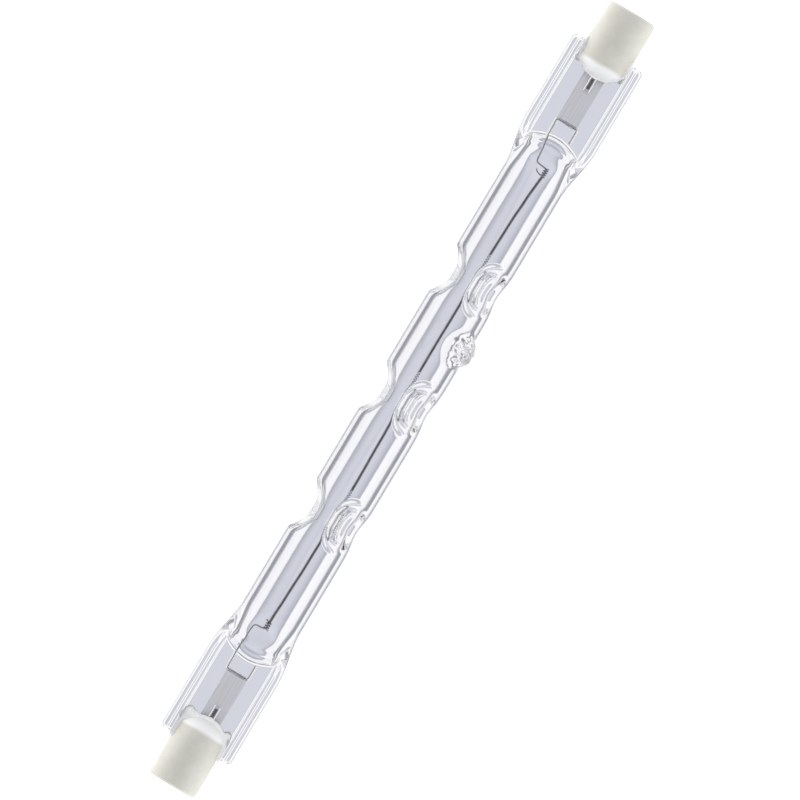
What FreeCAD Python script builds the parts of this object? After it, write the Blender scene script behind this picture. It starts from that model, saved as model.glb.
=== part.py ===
# A double-ended linear halogen lamp, 118 mm size: a dimpled quartz tube pinched flat at both ends,
# a coiled tungsten filament, foil seals and slotted ceramic caps with recessed contacts.
#
# Everything is drawn in the lamp's own level frame, in millimetres: X runs along the tube with the
# middle of the lamp at 0, the flat pinch seals lie in the XY plane and Z points away from them.
# rest_pose then rolls the finished pieces about X and lifts them, so that the lamp lies on a table
# at Z = 0 on its tube and on the corners of its two seals, as it comes to rest.
# The two ends are called a (at -X) and b (at +X).
import FreeCAD, Part
import math
import os
import Sketcher

Vector = FreeCAD.Vector

doc = FreeCAD.newDocument("linear_halogen_bulb")

# The driving dimensions, in millimetres and degrees

SIZES = (
    ("overall_length", 117.6, "over the ends of both ceramic caps"),
    ("recess_depth", 1.7, "from the ends of the caps in to the contact faces"),
    ("tube_diameter", 8.7, "outside of the quartz tube"),
    ("tube_wall", 1.0, "wall of the quartz tube"),
    ("shoulder_lead", 5.7, "from where the round tube starts to flatten to the seal's full width"),
    ("shoulder_length", 5.5, "from there to where the shoulder has sunk into the seal"),
    ("shoulder_height", 3.4, "height of the shoulder there"),
    ("squeeze_lead", 0.8, "how far before its start the flattening arc would be level"),
    ("flare_length", 6.2, "from where the seal's edges grow out of the tube to its full width"),
    ("flare_width", 7.8, "width over those edges there"),
    ("gas_reach", 0.2, "how far the gas space runs into the seal"),
    ("gas_slit_width", 2.3, "width of the gas space at its narrow end"),
    ("gas_slit_height", 0.3, "height of the gas space at its narrow end"),
    ("seal_length", 13.55, "pinch seal at its full width"),
    ("seal_setback", 4.35, "from the contact's face back to the seal's outer end"),
    ("seal_width", 10.6, "width of the pinch seal"),
    ("rail_thickness", 3.8, "thickness of the seal at its two edges"),
    ("rail_width", 1.25, "width of each thick edge"),
    ("rail_round", 0.6, "rounding along the thick edges"),
    ("corner_cut", 0.4, "cut of the seal's outer corners"),
    ("web_thickness", 2.2, "thickness of the pressed flat between the edges"),
    ("web_setback", 0.5, "from the seal's start to the pressed flat, on the middle line"),
    ("web_bow", 1.3, "how far the flat's curved inner end falls back at its sides"),
    ("press_slope", 0.6, "how far each pressed wall leans back over its height"),
    ("dimple_pitch", 17.9, "from one ring of dimples to the next"),
    ("dimple_shift", -0.3, "place of the middle ring"),
    ("dimple_length", 6.3, "length of a dimple along the tube"),
    ("dimple_round", 5.921, "radius of a dimple's hollow across the tube"),
    ("dimple_floor", 2.3, "from the axis to a dimple's outer floor"),
    ("dimple_wall", 0.95, "wall left under a dimple"),
    ("dimple_turn", 30.0, "angle of the first dimple from Z towards -Y"),
    ("tip_place", 9.3, "sealed exhaust tip along the tube"),
    ("tip_turn", 50.0, "angle of the exhaust tip from Z towards -Y"),
    ("tip_foot", 4.4, "diameter of the melted exhaust tip at its foot"),
    ("tip_brow", 2.7, "diameter of the tip where it turns over"),
    ("tip_brow_height", 0.85, "how far that stands out of the tube"),
    ("tip_point", 0.9, "diameter of the drawn-off point"),
    ("tip_height", 1.5, "how far the point stands out of the tube"),
    ("tip_bore", 1.4, "bore of the exhaust pipe that was melted shut"),
    ("tip_bore_end", 0.2, "how far that bore runs on past the tube's outside"),
    ("foil_width", 3.0, "molybdenum foil"),
    ("foil_thickness", 0.05, "molybdenum foil"),
    ("foil_length", 8.9, "molybdenum foil"),
    ("foil_cover", 2.15, "quartz beyond the foil's outer end"),
    ("weld_depth", 0.02, "how far a lead is flattened where it is welded to the foil"),
    ("channel_gap", 0.02, "gap beside a lead in the seal, as quartz shrinks away from its metal"),
    ("outer_lead_diameter", 0.65, "lead from the foil to the contact"),
    ("outer_lead_lap", 3.4, "length of the outer lead that lies on the foil"),
    ("inner_lead_diameter", 0.26, "tungsten lead from the foil to the filament"),
    ("hook_lap", 0.2, "how far the cross limb of the lead's hook lies onto the foil"),
    ("hook_half_width", 1.55, "half the width of the lead's hook"),
    ("hook_limb", 2.15, "free limb of the hook"),
    ("exit_lead", 0.8, "from the gas space's end to the lead's first bend"),
    ("exit_rise_a", 1.6, "lead above the middle line there, end a"),
    ("exit_rise_b", 1.25, "lead above the middle line there, end b"),
    ("elbow_lead_a", 3.7, "from that bend to the lead's elbow, end a"),
    ("elbow_lead_b", 3.2, "from that bend to the lead's elbow, end b"),
    ("elbow_rise_a", 1.45, "lead's elbow above the middle line, end a"),
    ("elbow_rise_b", 0.75, "lead's elbow above the middle line, end b"),
    ("clamp_length", 1.0, "end of the lead that sits in the filament's first turns"),
    ("clamp_rise_a", -0.1, "those turns above the middle line, end a"),
    ("clamp_rise_b", -0.85, "those turns above the middle line, end b"),
    ("coil_diameter", 0.44, "outside of the filament's coil"),
    ("sag_first", -0.5, "filament above the middle line at the first ring"),
    ("sag_middle", -0.22, "filament above the middle line at the middle ring"),
    ("sag_last", -0.18, "filament above the middle line at the last ring"),
    ("cap_diameter", 7.0, "ceramic cap"),
    ("cap_nose", 2.0, "length of the cap's domed nose"),
    ("cap_draft", 0.08, "how far the slotted part of the barrel draws in towards the nose"),
    ("cap_length", 10.0, "ceramic cap over its domed nose"),
    ("cap_slot", 0.3, "cement gap between the cap's slot and the flat"),
    ("cap_seat", 0.4, "cement gap between the seal's end and the slot's floor"),
    ("rim_bevel", 0.3, "bevel of the cap's outer rim"),
    ("recess_diameter", 3.5, "recess that the holder's pin enters"),
    ("lead_gap", 0.15, "gap round the outer lead in the cap's bore"),
    ("contact_diameter", 3.0, "contact button, level with the floor of the recess"),
    ("contact_thickness", 0.6, "contact button"),
    ("contact_gap", 0.05, "gap round the contact in its seat"),
    ("cement_reach_a", 0.35, "cement squeezed out past the cap, end a"),
    ("cement_reach_b", 0.1, "cement squeezed out past the cap, end b"),
)

# Places along the lamp, from its middle. They follow the overall length, so a longer lamp keeps its ends.

PLACES = (
    ("contact_face", "=overall_length / 2 - recess_depth", "outer face of the contact"),
    ("seal_finish", "=contact_face - seal_setback", "outer end of the pinch seal"),
    ("seal_start", "=seal_finish - seal_length", "where the seal has its full width"),
    ("web_start", "=seal_start + web_setback", "inner end of the pressed flat, on the middle line"),
    ("shoulder_start", "=seal_start - shoulder_lead", "where the round tube starts to flatten"),
    ("shoulder_finish", "=shoulder_start + shoulder_length", "where the shoulder has sunk into the seal"),
    ("flare_start", "=seal_start - flare_length", "where the seal's edges grow out of the tube"),
    ("gas_finish", "=seal_start + gas_reach", "narrow end of the gas space"),
    ("foil_finish", "=seal_finish - foil_cover", "outer end of the foil"),
    ("foil_start", "=foil_finish - foil_length", "inner end of the foil"),
    ("outer_lead_start", "=foil_finish - outer_lead_lap", "inner end of the outer lead"),
    ("hook_reach", "=foil_start + hook_lap", "cross limb of the lead's hook"),
    ("hook_return", "=hook_reach - hook_limb", "free end of the hook"),
    ("lead_exit", "=gas_finish - exit_lead", "the lead's first bend outside the seal"),
    ("elbow_place_a", "=lead_exit - elbow_lead_a", "lead's elbow, end a"),
    ("elbow_place_b", "=lead_exit - elbow_lead_b", "lead's elbow, end b"),
    ("cap_start", "=overall_length / 2 - cap_length", "tip of the cap's nose"),
)

lamp = doc.addObject("Spreadsheet::Sheet", "lamp")
for line, (alias, content, note) in enumerate(SIZES + PLACES, start=1):
    lamp.set(f"A{line}", alias)
    lamp.set(f"B{line}", str(content))
    lamp.set(f"C{line}", note)
    lamp.setAlias(f"B{line}", alias)
doc.recompute()


# Helpers

def value(formula):
    """The number that a formula of the sheet gives."""
    return float(lamp.evalExpression(formula))


def make(kind, name, place=None, **bound):
    """Adds an object of the document and binds its place and sizes to the sheet."""
    thing = doc.addObject(kind, name)
    for key, formula in bound.items():
        thing.setExpression(key, formula)
    if place:
        thing.setExpression("Placement", place)
    return thing


def cut(name, base, tool):
    thing = doc.addObject("Part::Cut", name)
    thing.Base = base
    thing.Tool = tool
    return thing


def fuse(name, *shapes):
    thing = doc.addObject("Part::MultiFuse", name)
    thing.Shapes = list(shapes)
    return thing


def common(name, *shapes):
    thing = doc.addObject("Part::MultiCommon", name)
    thing.Shapes = list(shapes)
    return thing


def mirror(name, source, normal=Vector(1, 0, 0)):
    thing = doc.addObject("Part::Mirroring", name)
    thing.Source = source
    thing.Normal = normal
    return thing


def round_edges(name, base, test, radius):
    """Rounds the edges of base that the test picks out."""
    doc.recompute()
    thing = doc.addObject("Part::Fillet", name)
    thing.Base = base
    size = value(radius)
    thing.Edges = [(number, size, size) for number, edge in enumerate(base.Shape.Edges, start=1) if test(edge)]
    return thing


def off_axis(point):
    return math.hypot(point.y, point.z)


def bind(sketch, constraint, formula):
    number = sketch.addConstraint(constraint)
    sketch.setExpression(f"Constraints[{number}]", formula)


def draw(sketch, corners):
    """Draws a closed outline through corners given as formulas for X and for the distance from X."""
    spots = [Vector(value(along), value(out), 0) for along, out in corners]
    count = len(spots)
    for number in range(count):
        sketch.addGeometry(Part.LineSegment(spots[number], spots[(number + 1) % count]), False)
    for number, (along, out) in enumerate(corners):
        sketch.addConstraint(Sketcher.Constraint("Coincident", number, 2, (number + 1) % count, 1))
        bind(sketch, Sketcher.Constraint("DistanceX", -1, 1, number, 1, value(along)), along)
        if value(out) > 0:
            bind(sketch, Sketcher.Constraint("DistanceY", -1, 1, number, 1, value(out)), out)
        elif value(out) < 0:
            bind(sketch, Sketcher.Constraint("DistanceY", number, 1, -1, 1, -value(out)), f"-({out})")
        else:
            sketch.addConstraint(Sketcher.Constraint("PointOnObject", number, 1, -1))


# The rest pose: the lamp rolls until the rounded corner of a thick seal edge meets the table
# on which the tube lies

rest_pose = doc.addObject("App::Placement", "rest_pose")
CORNER_OUT = "(lamp.seal_width / 2 - lamp.rail_round)"
CORNER_UP = "(lamp.rail_thickness / 2 - lamp.rail_round)"
ROLL = (f"asin((lamp.tube_diameter / 2 - lamp.rail_round) / sqrt({CORNER_OUT}^2 + {CORNER_UP}^2))"
        f" - atan({CORNER_UP} / {CORNER_OUT})")
rest_pose.setExpression("Placement", f"placement(vector(0; 0; lamp.tube_diameter / 2); rotationx({ROLL}))")

nodes = {}


def finish(node, thing):
    """Names a finished piece and lays it in the rest pose."""
    thing.Label = node
    thing.setExpression("Placement", "rest_pose.Placement")
    nodes[node] = thing


# Quartz: the round tube, squeezed flat at both ends

TUBE_RADIUS = "(lamp.tube_diameter / 2)"
BORE_RADIUS = f"({TUBE_RADIUS} - lamp.tube_wall)"

# Turns Z to X with the seam of a round wall kept between the dimples
ALONG = "rotationx(lamp.dimple_turn + 60) * rotationy(90) * rotationz(180)"
# The tools stand this far clear of the glass that they shape
CLEAR = 1.0
# Turns a tool made for the top of the tube to its bottom or its two sides
TOP, BOTTOM, LEFT, RIGHT = (f"rotationx({angle})" for angle in (0, 180, 90, 270))


def squeezer(name, turn, radius, half_left, finish_at):
    """The block, hollowed by an arc, that squeezes a round bar of this radius down to half_left."""
    near = "lamp.squeeze_lead"
    far = f"({finish_at} - lamp.shoulder_start + {near})"
    drop = f"({radius} - {half_left})"
    rise = f"(({far}^2 - {near}^2 - {drop}^2) / (2 * {drop}))"
    level = f"(lamp.shoulder_start - {near})"
    half_wide = f"({radius} + {CLEAR})"
    block = make(
        "Part::Box", f"{name}_block", place=f"placement({turn} * vector({level}; -{half_wide}; 0); {turn})",
        Length=f"{far} + {CLEAR}", Width=f"2 * {half_wide}", Height=half_wide)
    roller = make(
        "Part::Cylinder", f"{name}_arc",
        place=f"placement({turn} * vector({level}; {half_wide}; {half_left} - {rise}); {turn} * rotationx(90))",
        Radius=f"sqrt({far}^2 + {rise}^2)", Height=f"2 * {half_wide}")
    return cut(name, block, roller)


def squeezed_bar(name, radius, finish_at, squeezes):
    """A round bar along the whole tube; each (name, turn, half_left) squeezes both of its ends."""
    bar_shape = make(
        "Part::Cylinder", f"{name}_round", place=f"placement(vector(-{finish_at}; 0; 0); {ALONG})",
        Radius=radius, Height=f"2 * {finish_at}")
    tools = []
    for part, turn, half_left in squeezes:
        tool = squeezer(f"{name}_{part}", turn, radius, half_left, finish_at)
        tools += [tool, mirror(f"{name}_{part}_a", tool)]
    return cut(name, bar_shape, fuse(f"{name}_tools", *tools))


tube_bar = squeezed_bar(
    "tube_bar", TUBE_RADIUS, "lamp.shoulder_finish",
    (("top", TOP, "lamp.shoulder_height / 2"), ("bottom", BOTTOM, "lamp.shoulder_height / 2")))
gas_bar = squeezed_bar(
    "gas_bar", BORE_RADIUS, "lamp.gas_finish",
    (("top", TOP, "lamp.gas_slit_height / 2"), ("bottom", BOTTOM, "lamp.gas_slit_height / 2"),
     ("left", LEFT, "lamp.gas_slit_width / 2"), ("right", RIGHT, "lamp.gas_slit_width / 2")))

# Quartz: three rings of three dimples. A dimple is the hollow that two crossing rollers share, one
# along the tube and one across it. Both grow by the wall's thickness for the inside of the glass.

DEPTH = f"({TUBE_RADIUS} - lamp.dimple_floor)"
ACROSS_RADIUS = f"(((lamp.dimple_length / 2)^2 + {DEPTH}^2) / (2 * {DEPTH}))"
ALONG_RADIUS = "lamp.dimple_round"


def dimple_tools(name, wall):
    """The nine dimple hollows, grown by a wall."""
    hollows = []
    for ring in (-1, 0, 1):
        place = f"(lamp.dimple_shift + {ring} * lamp.dimple_pitch)"
        for turn in (0, 120, 240):
            own = f"{name}_{ring + 2}_{turn}"
            aim = f"rotationx(lamp.dimple_turn + {turn})"
            across = make(
                "Part::Cylinder", f"{own}_across",
                place=(f"placement({aim} * vector({place}; lamp.tube_diameter;"
                       f" lamp.dimple_floor + {ACROSS_RADIUS}); {aim} * rotationx(90))"),
                Radius=f"{ACROSS_RADIUS} + {wall}", Height="2 * lamp.tube_diameter")
            along = make(
                "Part::Cylinder", f"{own}_along",
                place=(f"placement({aim} * vector({place} - lamp.tube_diameter; 0;"
                       f" lamp.dimple_floor + {ALONG_RADIUS}); {aim} * rotationy(90) * rotationz(180))"),
                Radius=f"{ALONG_RADIUS} + {wall}", Height="2 * lamp.tube_diameter")
            hollows.append(common(own, across, along))
    return fuse(name, *hollows)


dimpled_tube = cut("dimpled_tube", tube_bar, dimple_tools("dimple_outside", "0"))
dimpled_gas = cut("dimpled_gas", gas_bar, dimple_tools("dimple_inside", "lamp.dimple_wall"))

# Quartz: the pinch seal is a flat bar that flares out of the tube. Its faces are pressed in
# between two thick edges.

bar_outline = doc.addObject("Sketcher::SketchObject", "bar_outline")
draw(bar_outline, (
    ("lamp.flare_start", "-lamp.flare_width / 2"), ("lamp.seal_start", "-lamp.seal_width / 2"),
    ("lamp.seal_finish - lamp.corner_cut", "-lamp.seal_width / 2"),
    ("lamp.seal_finish", "-lamp.seal_width / 2 + lamp.corner_cut"),
    ("lamp.seal_finish", "lamp.seal_width / 2 - lamp.corner_cut"),
    ("lamp.seal_finish - lamp.corner_cut", "lamp.seal_width / 2"),
    ("lamp.seal_start", "lamp.seal_width / 2"), ("lamp.flare_start", "lamp.flare_width / 2")))
bar_blank = make("Part::Extrusion", "bar_blank", LengthFwd="lamp.rail_thickness")
bar_blank.Base = bar_outline
bar_blank.Dir = Vector(0, 0, 1)
bar_blank.Solid = True
bar_blank.Symmetric = True


def runs_along(edge):
    return abs(edge.tangentAt(edge.FirstParameter).x) > 0.9


bar = round_edges("bar", bar_blank, runs_along, "lamp.rail_round")

# The press has leaning walls
PRESS_HEIGHT = f"(lamp.rail_thickness - lamp.web_thickness) / 2 + {CLEAR}"
FLAT_HALF = "(lamp.seal_width / 2 - lamp.rail_width - lamp.press_slope / 2)"
BOW_RADIUS = f"(({FLAT_HALF}^2 + lamp.web_bow^2) / (2 * lamp.web_bow))"

# Turns X, Y and Z to Y, Z and X
TURN_ROUND = "rotation(vector(1; 1; 1); 120)"
press_block = make(
    "Part::Wedge", "press_block", place=f"placement(vector(0; 0; 0); {TURN_ROUND})",
    Xmin=f"-{FLAT_HALF}", Xmax=FLAT_HALF, X2min=f"-{FLAT_HALF} - lamp.press_slope",
    X2max=f"{FLAT_HALF} + lamp.press_slope",
    Ymin="lamp.web_thickness / 2", Ymax=f"lamp.web_thickness / 2 + {PRESS_HEIGHT}",
    Zmin="lamp.web_start - 2 * lamp.web_bow", Zmax=f"lamp.seal_finish + {CLEAR}",
    Z2min="lamp.web_start - 2 * lamp.web_bow", Z2max=f"lamp.seal_finish + {CLEAR}")
press_bow = make(
    "Part::Cone", "press_bow",
    place=f"placement(vector(lamp.web_start - {BOW_RADIUS}; 0; lamp.web_thickness / 2); rotationz(180))",
    Radius1=BOW_RADIUS, Radius2=f"{BOW_RADIUS} - lamp.press_slope", Height=PRESS_HEIGHT)
press_top = cut("press_top", press_block, press_bow)
press_bottom = mirror("press_bottom", press_top, Vector(0, 0, 1))
press = fuse("press", press_top, press_bottom)

# Quartz: the exhaust tip, a melted blob with a drawn-off point

TIP_SUNK = 0.6


def tip_place(out):
    return f"placement(rotationx(lamp.tip_turn) * vector(lamp.tip_place; 0; {out}); rotationx(lamp.tip_turn))"


tip_body = make(
    "Part::Cone", "tip_body", place=tip_place(f"{TUBE_RADIUS} - {TIP_SUNK}"),
    Radius1="lamp.tip_foot / 2", Radius2="lamp.tip_brow / 2", Height=f"lamp.tip_brow_height + {TIP_SUNK}")
tip_top = make(
    "Part::Cone", "tip_top", place=tip_place(f"{TUBE_RADIUS} + lamp.tip_brow_height"),
    Radius1="lamp.tip_brow / 2", Radius2="lamp.tip_point / 2", Height="lamp.tip_height - lamp.tip_brow_height")

tip_pit = make(
    "Part::Cylinder", "tip_pit", place=tip_place(f"{BORE_RADIUS} - {TIP_SUNK}"),
    Radius="lamp.tip_bore / 2", Height=f"lamp.tube_wall + {TIP_SUNK} + lamp.tip_bore_end")

# Metal in the seals: foil, outer lead and inner lead at each end

FOIL_TOP = "(lamp.weld_depth - lamp.outer_lead_diameter / 2)"
LEAD_PLANE = f"({FOIL_TOP} - lamp.weld_depth + lamp.inner_lead_diameter / 2)"
CONTACT_FACE = "lamp.contact_face"
LEAD_END = f"({CONTACT_FACE} - lamp.contact_thickness)"


def round_bar(corners, radius):
    """A round wire along straight runs with sharp corners."""
    section = Part.Wire(Part.Circle(corners[0], corners[1] - corners[0], radius).toShape())
    return swept(corners, section)


def square_bar(corners, half_side):
    """A square bar along straight runs that lie level."""
    up = Vector(0, 0, half_side)
    aside = (corners[1] - corners[0]).cross(up).normalize() * half_side
    square = [corners[0] + aside + up, corners[0] + aside - up, corners[0] - aside - up, corners[0] - aside + up]
    return swept(corners, Part.makePolygon(square + square[:1]))


def swept(corners, section):
    sharp_corners = 1
    return Part.makePolygon(corners).makePipeShell([section], True, False, sharp_corners)


LEAD_RADIUS = "lamp.inner_lead_diameter / 2"
SIDES = {"a": -1, "b": 1}


def filament_line():
    """Corners of the filament's middle line: its ends at the lead's elbow and its three supports."""
    height = value(LEAD_PLANE)
    points = [Vector(-value(f"lamp.elbow_place_a - {LEAD_RADIUS}"), value("lamp.clamp_rise_a"), height)]
    for ring, name in ((-1, "first"), (0, "middle"), (1, "last")):
        along = value(f"lamp.dimple_shift + {ring} * lamp.dimple_pitch")
        points.append(Vector(along, value(f"lamp.sag_{name}"), height))
    points.append(Vector(value(f"lamp.elbow_place_b - {LEAD_RADIUS}"), value("lamp.clamp_rise_b"), height))
    return points


def lead_corners(end):
    """The inner lead from its hook on the foil to its end inside the filament's first turns."""
    height = value(LEAD_PLANE)
    half = value("lamp.hook_half_width")
    elbow = value(f"lamp.elbow_place_{end}")
    places = (
        (value("lamp.hook_return"), -half),
        (value("lamp.hook_reach"), -half),
        (value("lamp.hook_reach"), half),
        (value("lamp.lead_exit"), value(f"lamp.exit_rise_{end}")),
        (elbow, value(f"lamp.elbow_rise_{end}")),
    )
    corners = [Vector(SIDES[end] * along, rise, height) for along, rise in places]
    line = filament_line()
    mouth, inward = (line[0], line[1]) if end == "a" else (line[-1], line[-2])
    direction = (inward - mouth).normalize()
    corners.append(mouth - direction * value(LEAD_RADIUS))
    corners.append(mouth + direction * value("lamp.clamp_length"))
    return corners


leads = {}
for end in SIDES:
    lead = doc.addObject("Part::Feature", f"inner_lead_{end}_wire")
    lead.Shape = round_bar(lead_corners(end), value(LEAD_RADIUS))
    leads[end] = lead

foil_b = make(
    "Part::Box", "foil_b_sheet",
    place=("placement(vector(lamp.foil_start; -lamp.foil_width / 2;"
           f" {FOIL_TOP} - lamp.foil_thickness); rotationx(0))"),
    Length="lamp.foil_finish - lamp.foil_start", Width="lamp.foil_width", Height="lamp.foil_thickness")
foil_a = mirror("foil_a_sheet", foil_b)
outer_wire_b = make(
    "Part::Cylinder", "outer_wire_b",
    place="placement(vector(lamp.outer_lead_start; 0; 0); rotationy(90))",
    Radius="lamp.outer_lead_diameter / 2", Height=f"{LEAD_END} - lamp.outer_lead_start")
outer_lead_b = cut("outer_lead_b_welded", outer_wire_b, foil_b)
outer_lead_a = mirror("outer_lead_a_welded", outer_lead_b)
inner_lead_a = cut("inner_lead_a_welded", leads["a"], foil_a)
inner_lead_b = cut("inner_lead_b_welded", leads["b"], foil_b)

# The finished quartz: the outside less gas space and metal

quartz_blank = fuse("quartz_blank", dimpled_tube, tip_body, tip_top, bar, mirror("bar_a", bar))
pressed_blank = cut("pressed_blank", quartz_blank, fuse("presses", press, mirror("press_a", press)))
channels = [foil_a, foil_b]
outer_end = Vector(value(f"lamp.seal_finish + {CLEAR}"), 0, 0)
for end, side in SIDES.items():
    inner_channel = doc.addObject("Part::Feature", f"inner_channel_{end}")
    inner_channel.Shape = square_bar(lead_corners(end)[:-1], value(f"{LEAD_RADIUS} + lamp.channel_gap"))
    outer_channel = doc.addObject("Part::Feature", f"outer_channel_{end}")
    outer_channel.Shape = square_bar(
        [Vector(value("lamp.outer_lead_start"), 0, 0) * side, outer_end * side],
        value("lamp.outer_lead_diameter / 2 + lamp.channel_gap"))
    channels += [inner_channel, outer_channel]
quartz = cut("quartz_envelope_glass", pressed_blank, fuse("quartz_inside", dimpled_gas, tip_pit, *channels))

# The filament: a coil too fine to draw turn by turn, so its outside is drawn. The lead's end sits in
# its first turns at each end.

filament_blank = doc.addObject("Part::Feature", "filament_blank")
filament_blank.Shape = round_bar(filament_line(), value("lamp.coil_diameter / 2"))
filament = cut("filament_coil", filament_blank, fuse("lead_ends", leads["a"], leads["b"]))

# Ceramic cap and contact of end b, each a body turned about X


def plane_of(body, role):
    return next(feature for feature in body.Origin.OriginFeatures if feature.Role == role)


def sketch_on(body, name, role):
    sketch = body.newObject("Sketcher::SketchObject", name)
    sketch.AttachmentSupport = [(plane_of(body, role), "")]
    sketch.MapMode = "FlatFace"
    return sketch


def turned_body(name, corners):
    """A body made by turning an outline about X."""
    body = doc.addObject("PartDesign::Body", name)
    sketch = sketch_on(body, f"{name}_outline", "XZ_Plane")
    draw(sketch, corners)
    turning = body.newObject("PartDesign::Revolution", f"{name}_turning")
    turning.Profile = sketch
    turning.ReferenceAxis = (sketch, ["H_Axis"])
    turning.Angle = 360
    doc.recompute()
    return body


def bevel_rim(body, along, out, size):
    """Bevels the circular edge of a body at X = along and the distance out from X."""
    doc.recompute()
    solid = body.Tip
    found = []
    for index, edge in enumerate(solid.Shape.Edges, start=1):
        point = edge.valueAt(edge.FirstParameter)
        there = abs(point.x - value(along)) < 1e-4 and abs(off_axis(point) - value(out)) < 1e-4
        if there and isinstance(edge.Curve, Part.Circle):
            found.append(f"Edge{index}")
    bevel = body.newObject("PartDesign::Chamfer", f"{body.Name}_bevel")
    bevel.Base = (solid, found)
    bevel.setExpression("Size", size)


CAP_FACE = "lamp.overall_length / 2"
CAP_RADIUS = "lamp.cap_diameter / 2"
LEAD_BORE = "lamp.outer_lead_diameter / 2 + lamp.lead_gap"
RECESS_RADIUS = "lamp.recess_diameter / 2"
CONTACT_RADIUS = "lamp.contact_diameter / 2"
SEAT_RADIUS = f"{CONTACT_RADIUS} + lamp.contact_gap"
NOSE_END = "lamp.cap_start + lamp.cap_nose"
NOSE_RIM = f"({CAP_RADIUS} - lamp.cap_draft)"
NOSE_RADIUS = f"({NOSE_RIM}^2 + lamp.cap_nose^2) / (2 * lamp.cap_nose)"
NOSE_MIDDLE = f"(lamp.cap_start + {NOSE_RADIUS})"
SLOT_HALF = "(lamp.web_thickness / 2 + lamp.cap_slot)"
SLOT_FLOOR = "(lamp.seal_finish + lamp.cap_seat)"

cap = turned_body("cap", (
    (NOSE_END, LEAD_BORE), (NOSE_END, NOSE_RIM), (SLOT_FLOOR, CAP_RADIUS),
    (CAP_FACE, CAP_RADIUS), (CAP_FACE, RECESS_RADIUS),
    (CONTACT_FACE, RECESS_RADIUS), (CONTACT_FACE, SEAT_RADIUS), (LEAD_END, SEAT_RADIUS), (LEAD_END, LEAD_BORE)))

# The domed nose: an arc that starts on the lead's bore and ends on the barrel
dome = sketch_on(cap, "cap_dome_outline", "XZ_Plane")
dome_radius = value(NOSE_RADIUS)
dome_centre = value(NOSE_MIDDLE)
dome_lip = dome_centre - math.sqrt(dome_radius ** 2 - value(LEAD_BORE) ** 2)
lip = Vector(dome_lip, value(LEAD_BORE), 0)
edge_top = Vector(value(NOSE_END), value(NOSE_RIM), 0)
edge_foot = Vector(value(NOSE_END), value(LEAD_BORE), 0)
full_turn = Part.Circle(Vector(dome_centre, 0, 0), Vector(0, 0, 1), dome_radius)
dome.addGeometry(Part.ArcOfCircle(full_turn, full_turn.parameter(edge_top), full_turn.parameter(lip)), False)
dome.addGeometry(Part.LineSegment(lip, edge_foot), False)
dome.addGeometry(Part.LineSegment(edge_foot, edge_top), False)
for first, first_end, second, second_end in ((0, 2, 1, 1), (1, 2, 2, 1), (2, 2, 0, 1)):
    dome.addConstraint(Sketcher.Constraint("Coincident", first, first_end, second, second_end))
dome.addConstraint(Sketcher.Constraint("PointOnObject", 0, 3, -1))
dome.addConstraint(Sketcher.Constraint("Horizontal", 1))
dome.addConstraint(Sketcher.Constraint("Vertical", 2))
bind(dome, Sketcher.Constraint("DistanceX", -1, 1, 2, 1, value(NOSE_END)), NOSE_END)
bind(dome, Sketcher.Constraint("DistanceY", -1, 1, 2, 1, value(LEAD_BORE)), LEAD_BORE)
bind(dome, Sketcher.Constraint("DistanceY", -1, 1, 2, 2, value(NOSE_RIM)), NOSE_RIM)
bind(dome, Sketcher.Constraint("Radius", 0, dome_radius), NOSE_RADIUS)
nose = cap.newObject("PartDesign::Revolution", "cap_nose_turning")
nose.Profile = dome
nose.ReferenceAxis = (dome, ["H_Axis"])
nose.Angle = 360
bevel_rim(cap, CAP_FACE, CAP_RADIUS, "lamp.rim_bevel")

# The slot that takes the flat of the seal
slot_outline = sketch_on(cap, "cap_slot_outline", "XZ_Plane")
SLOT_MOUTH = f"lamp.cap_start - {CLEAR}"
slot_spots = [Vector(value(SLOT_MOUTH), -value(SLOT_HALF), 0), Vector(value(SLOT_FLOOR), -value(SLOT_HALF), 0),
              Vector(value(SLOT_FLOOR), value(SLOT_HALF), 0), Vector(value(SLOT_MOUTH), value(SLOT_HALF), 0)]
for number in range(4):
    slot_outline.addGeometry(Part.LineSegment(slot_spots[number], slot_spots[(number + 1) % 4]), False)
for number in range(4):
    slot_outline.addConstraint(Sketcher.Constraint("Coincident", number, 2, (number + 1) % 4, 1))
for number, direction in enumerate(("Horizontal", "Vertical", "Horizontal", "Vertical")):
    slot_outline.addConstraint(Sketcher.Constraint(direction, number))
slot_height = f"2 * {SLOT_HALF}"
bind(slot_outline, Sketcher.Constraint("DistanceY", 0, 1, -1, 1, value(SLOT_HALF)), SLOT_HALF)
bind(slot_outline, Sketcher.Constraint("DistanceX", -1, 1, 0, 1, value(SLOT_MOUTH)), SLOT_MOUTH)
bind(slot_outline, Sketcher.Constraint("DistanceX", -1, 1, 0, 2, value(SLOT_FLOOR)), SLOT_FLOOR)
bind(slot_outline, Sketcher.Constraint("DistanceY", 1, 1, 1, 2, value(slot_height)), slot_height)
slot = cap.newObject("PartDesign::Pocket", "cap_slot_pocket")
slot.Profile = slot_outline
slot.Midplane = True
slot.Type = "Length"
slot.setExpression("Length", f"lamp.cap_diameter + {CLEAR}")
doc.recompute()

contact = turned_body("contact", (
    (LEAD_END, "0"), (LEAD_END, CONTACT_RADIUS), (CONTACT_FACE, CONTACT_RADIUS), (CONTACT_FACE, "0")))

# Cement between the slot and the flat, squeezed out a little past the cap. Its front follows the
# round of the cap's nose in flats, as paste smoothed off by hand does.

pressed_bar = cut("pressed_bar", bar, press)
FRONT_SIDES = 16


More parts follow.
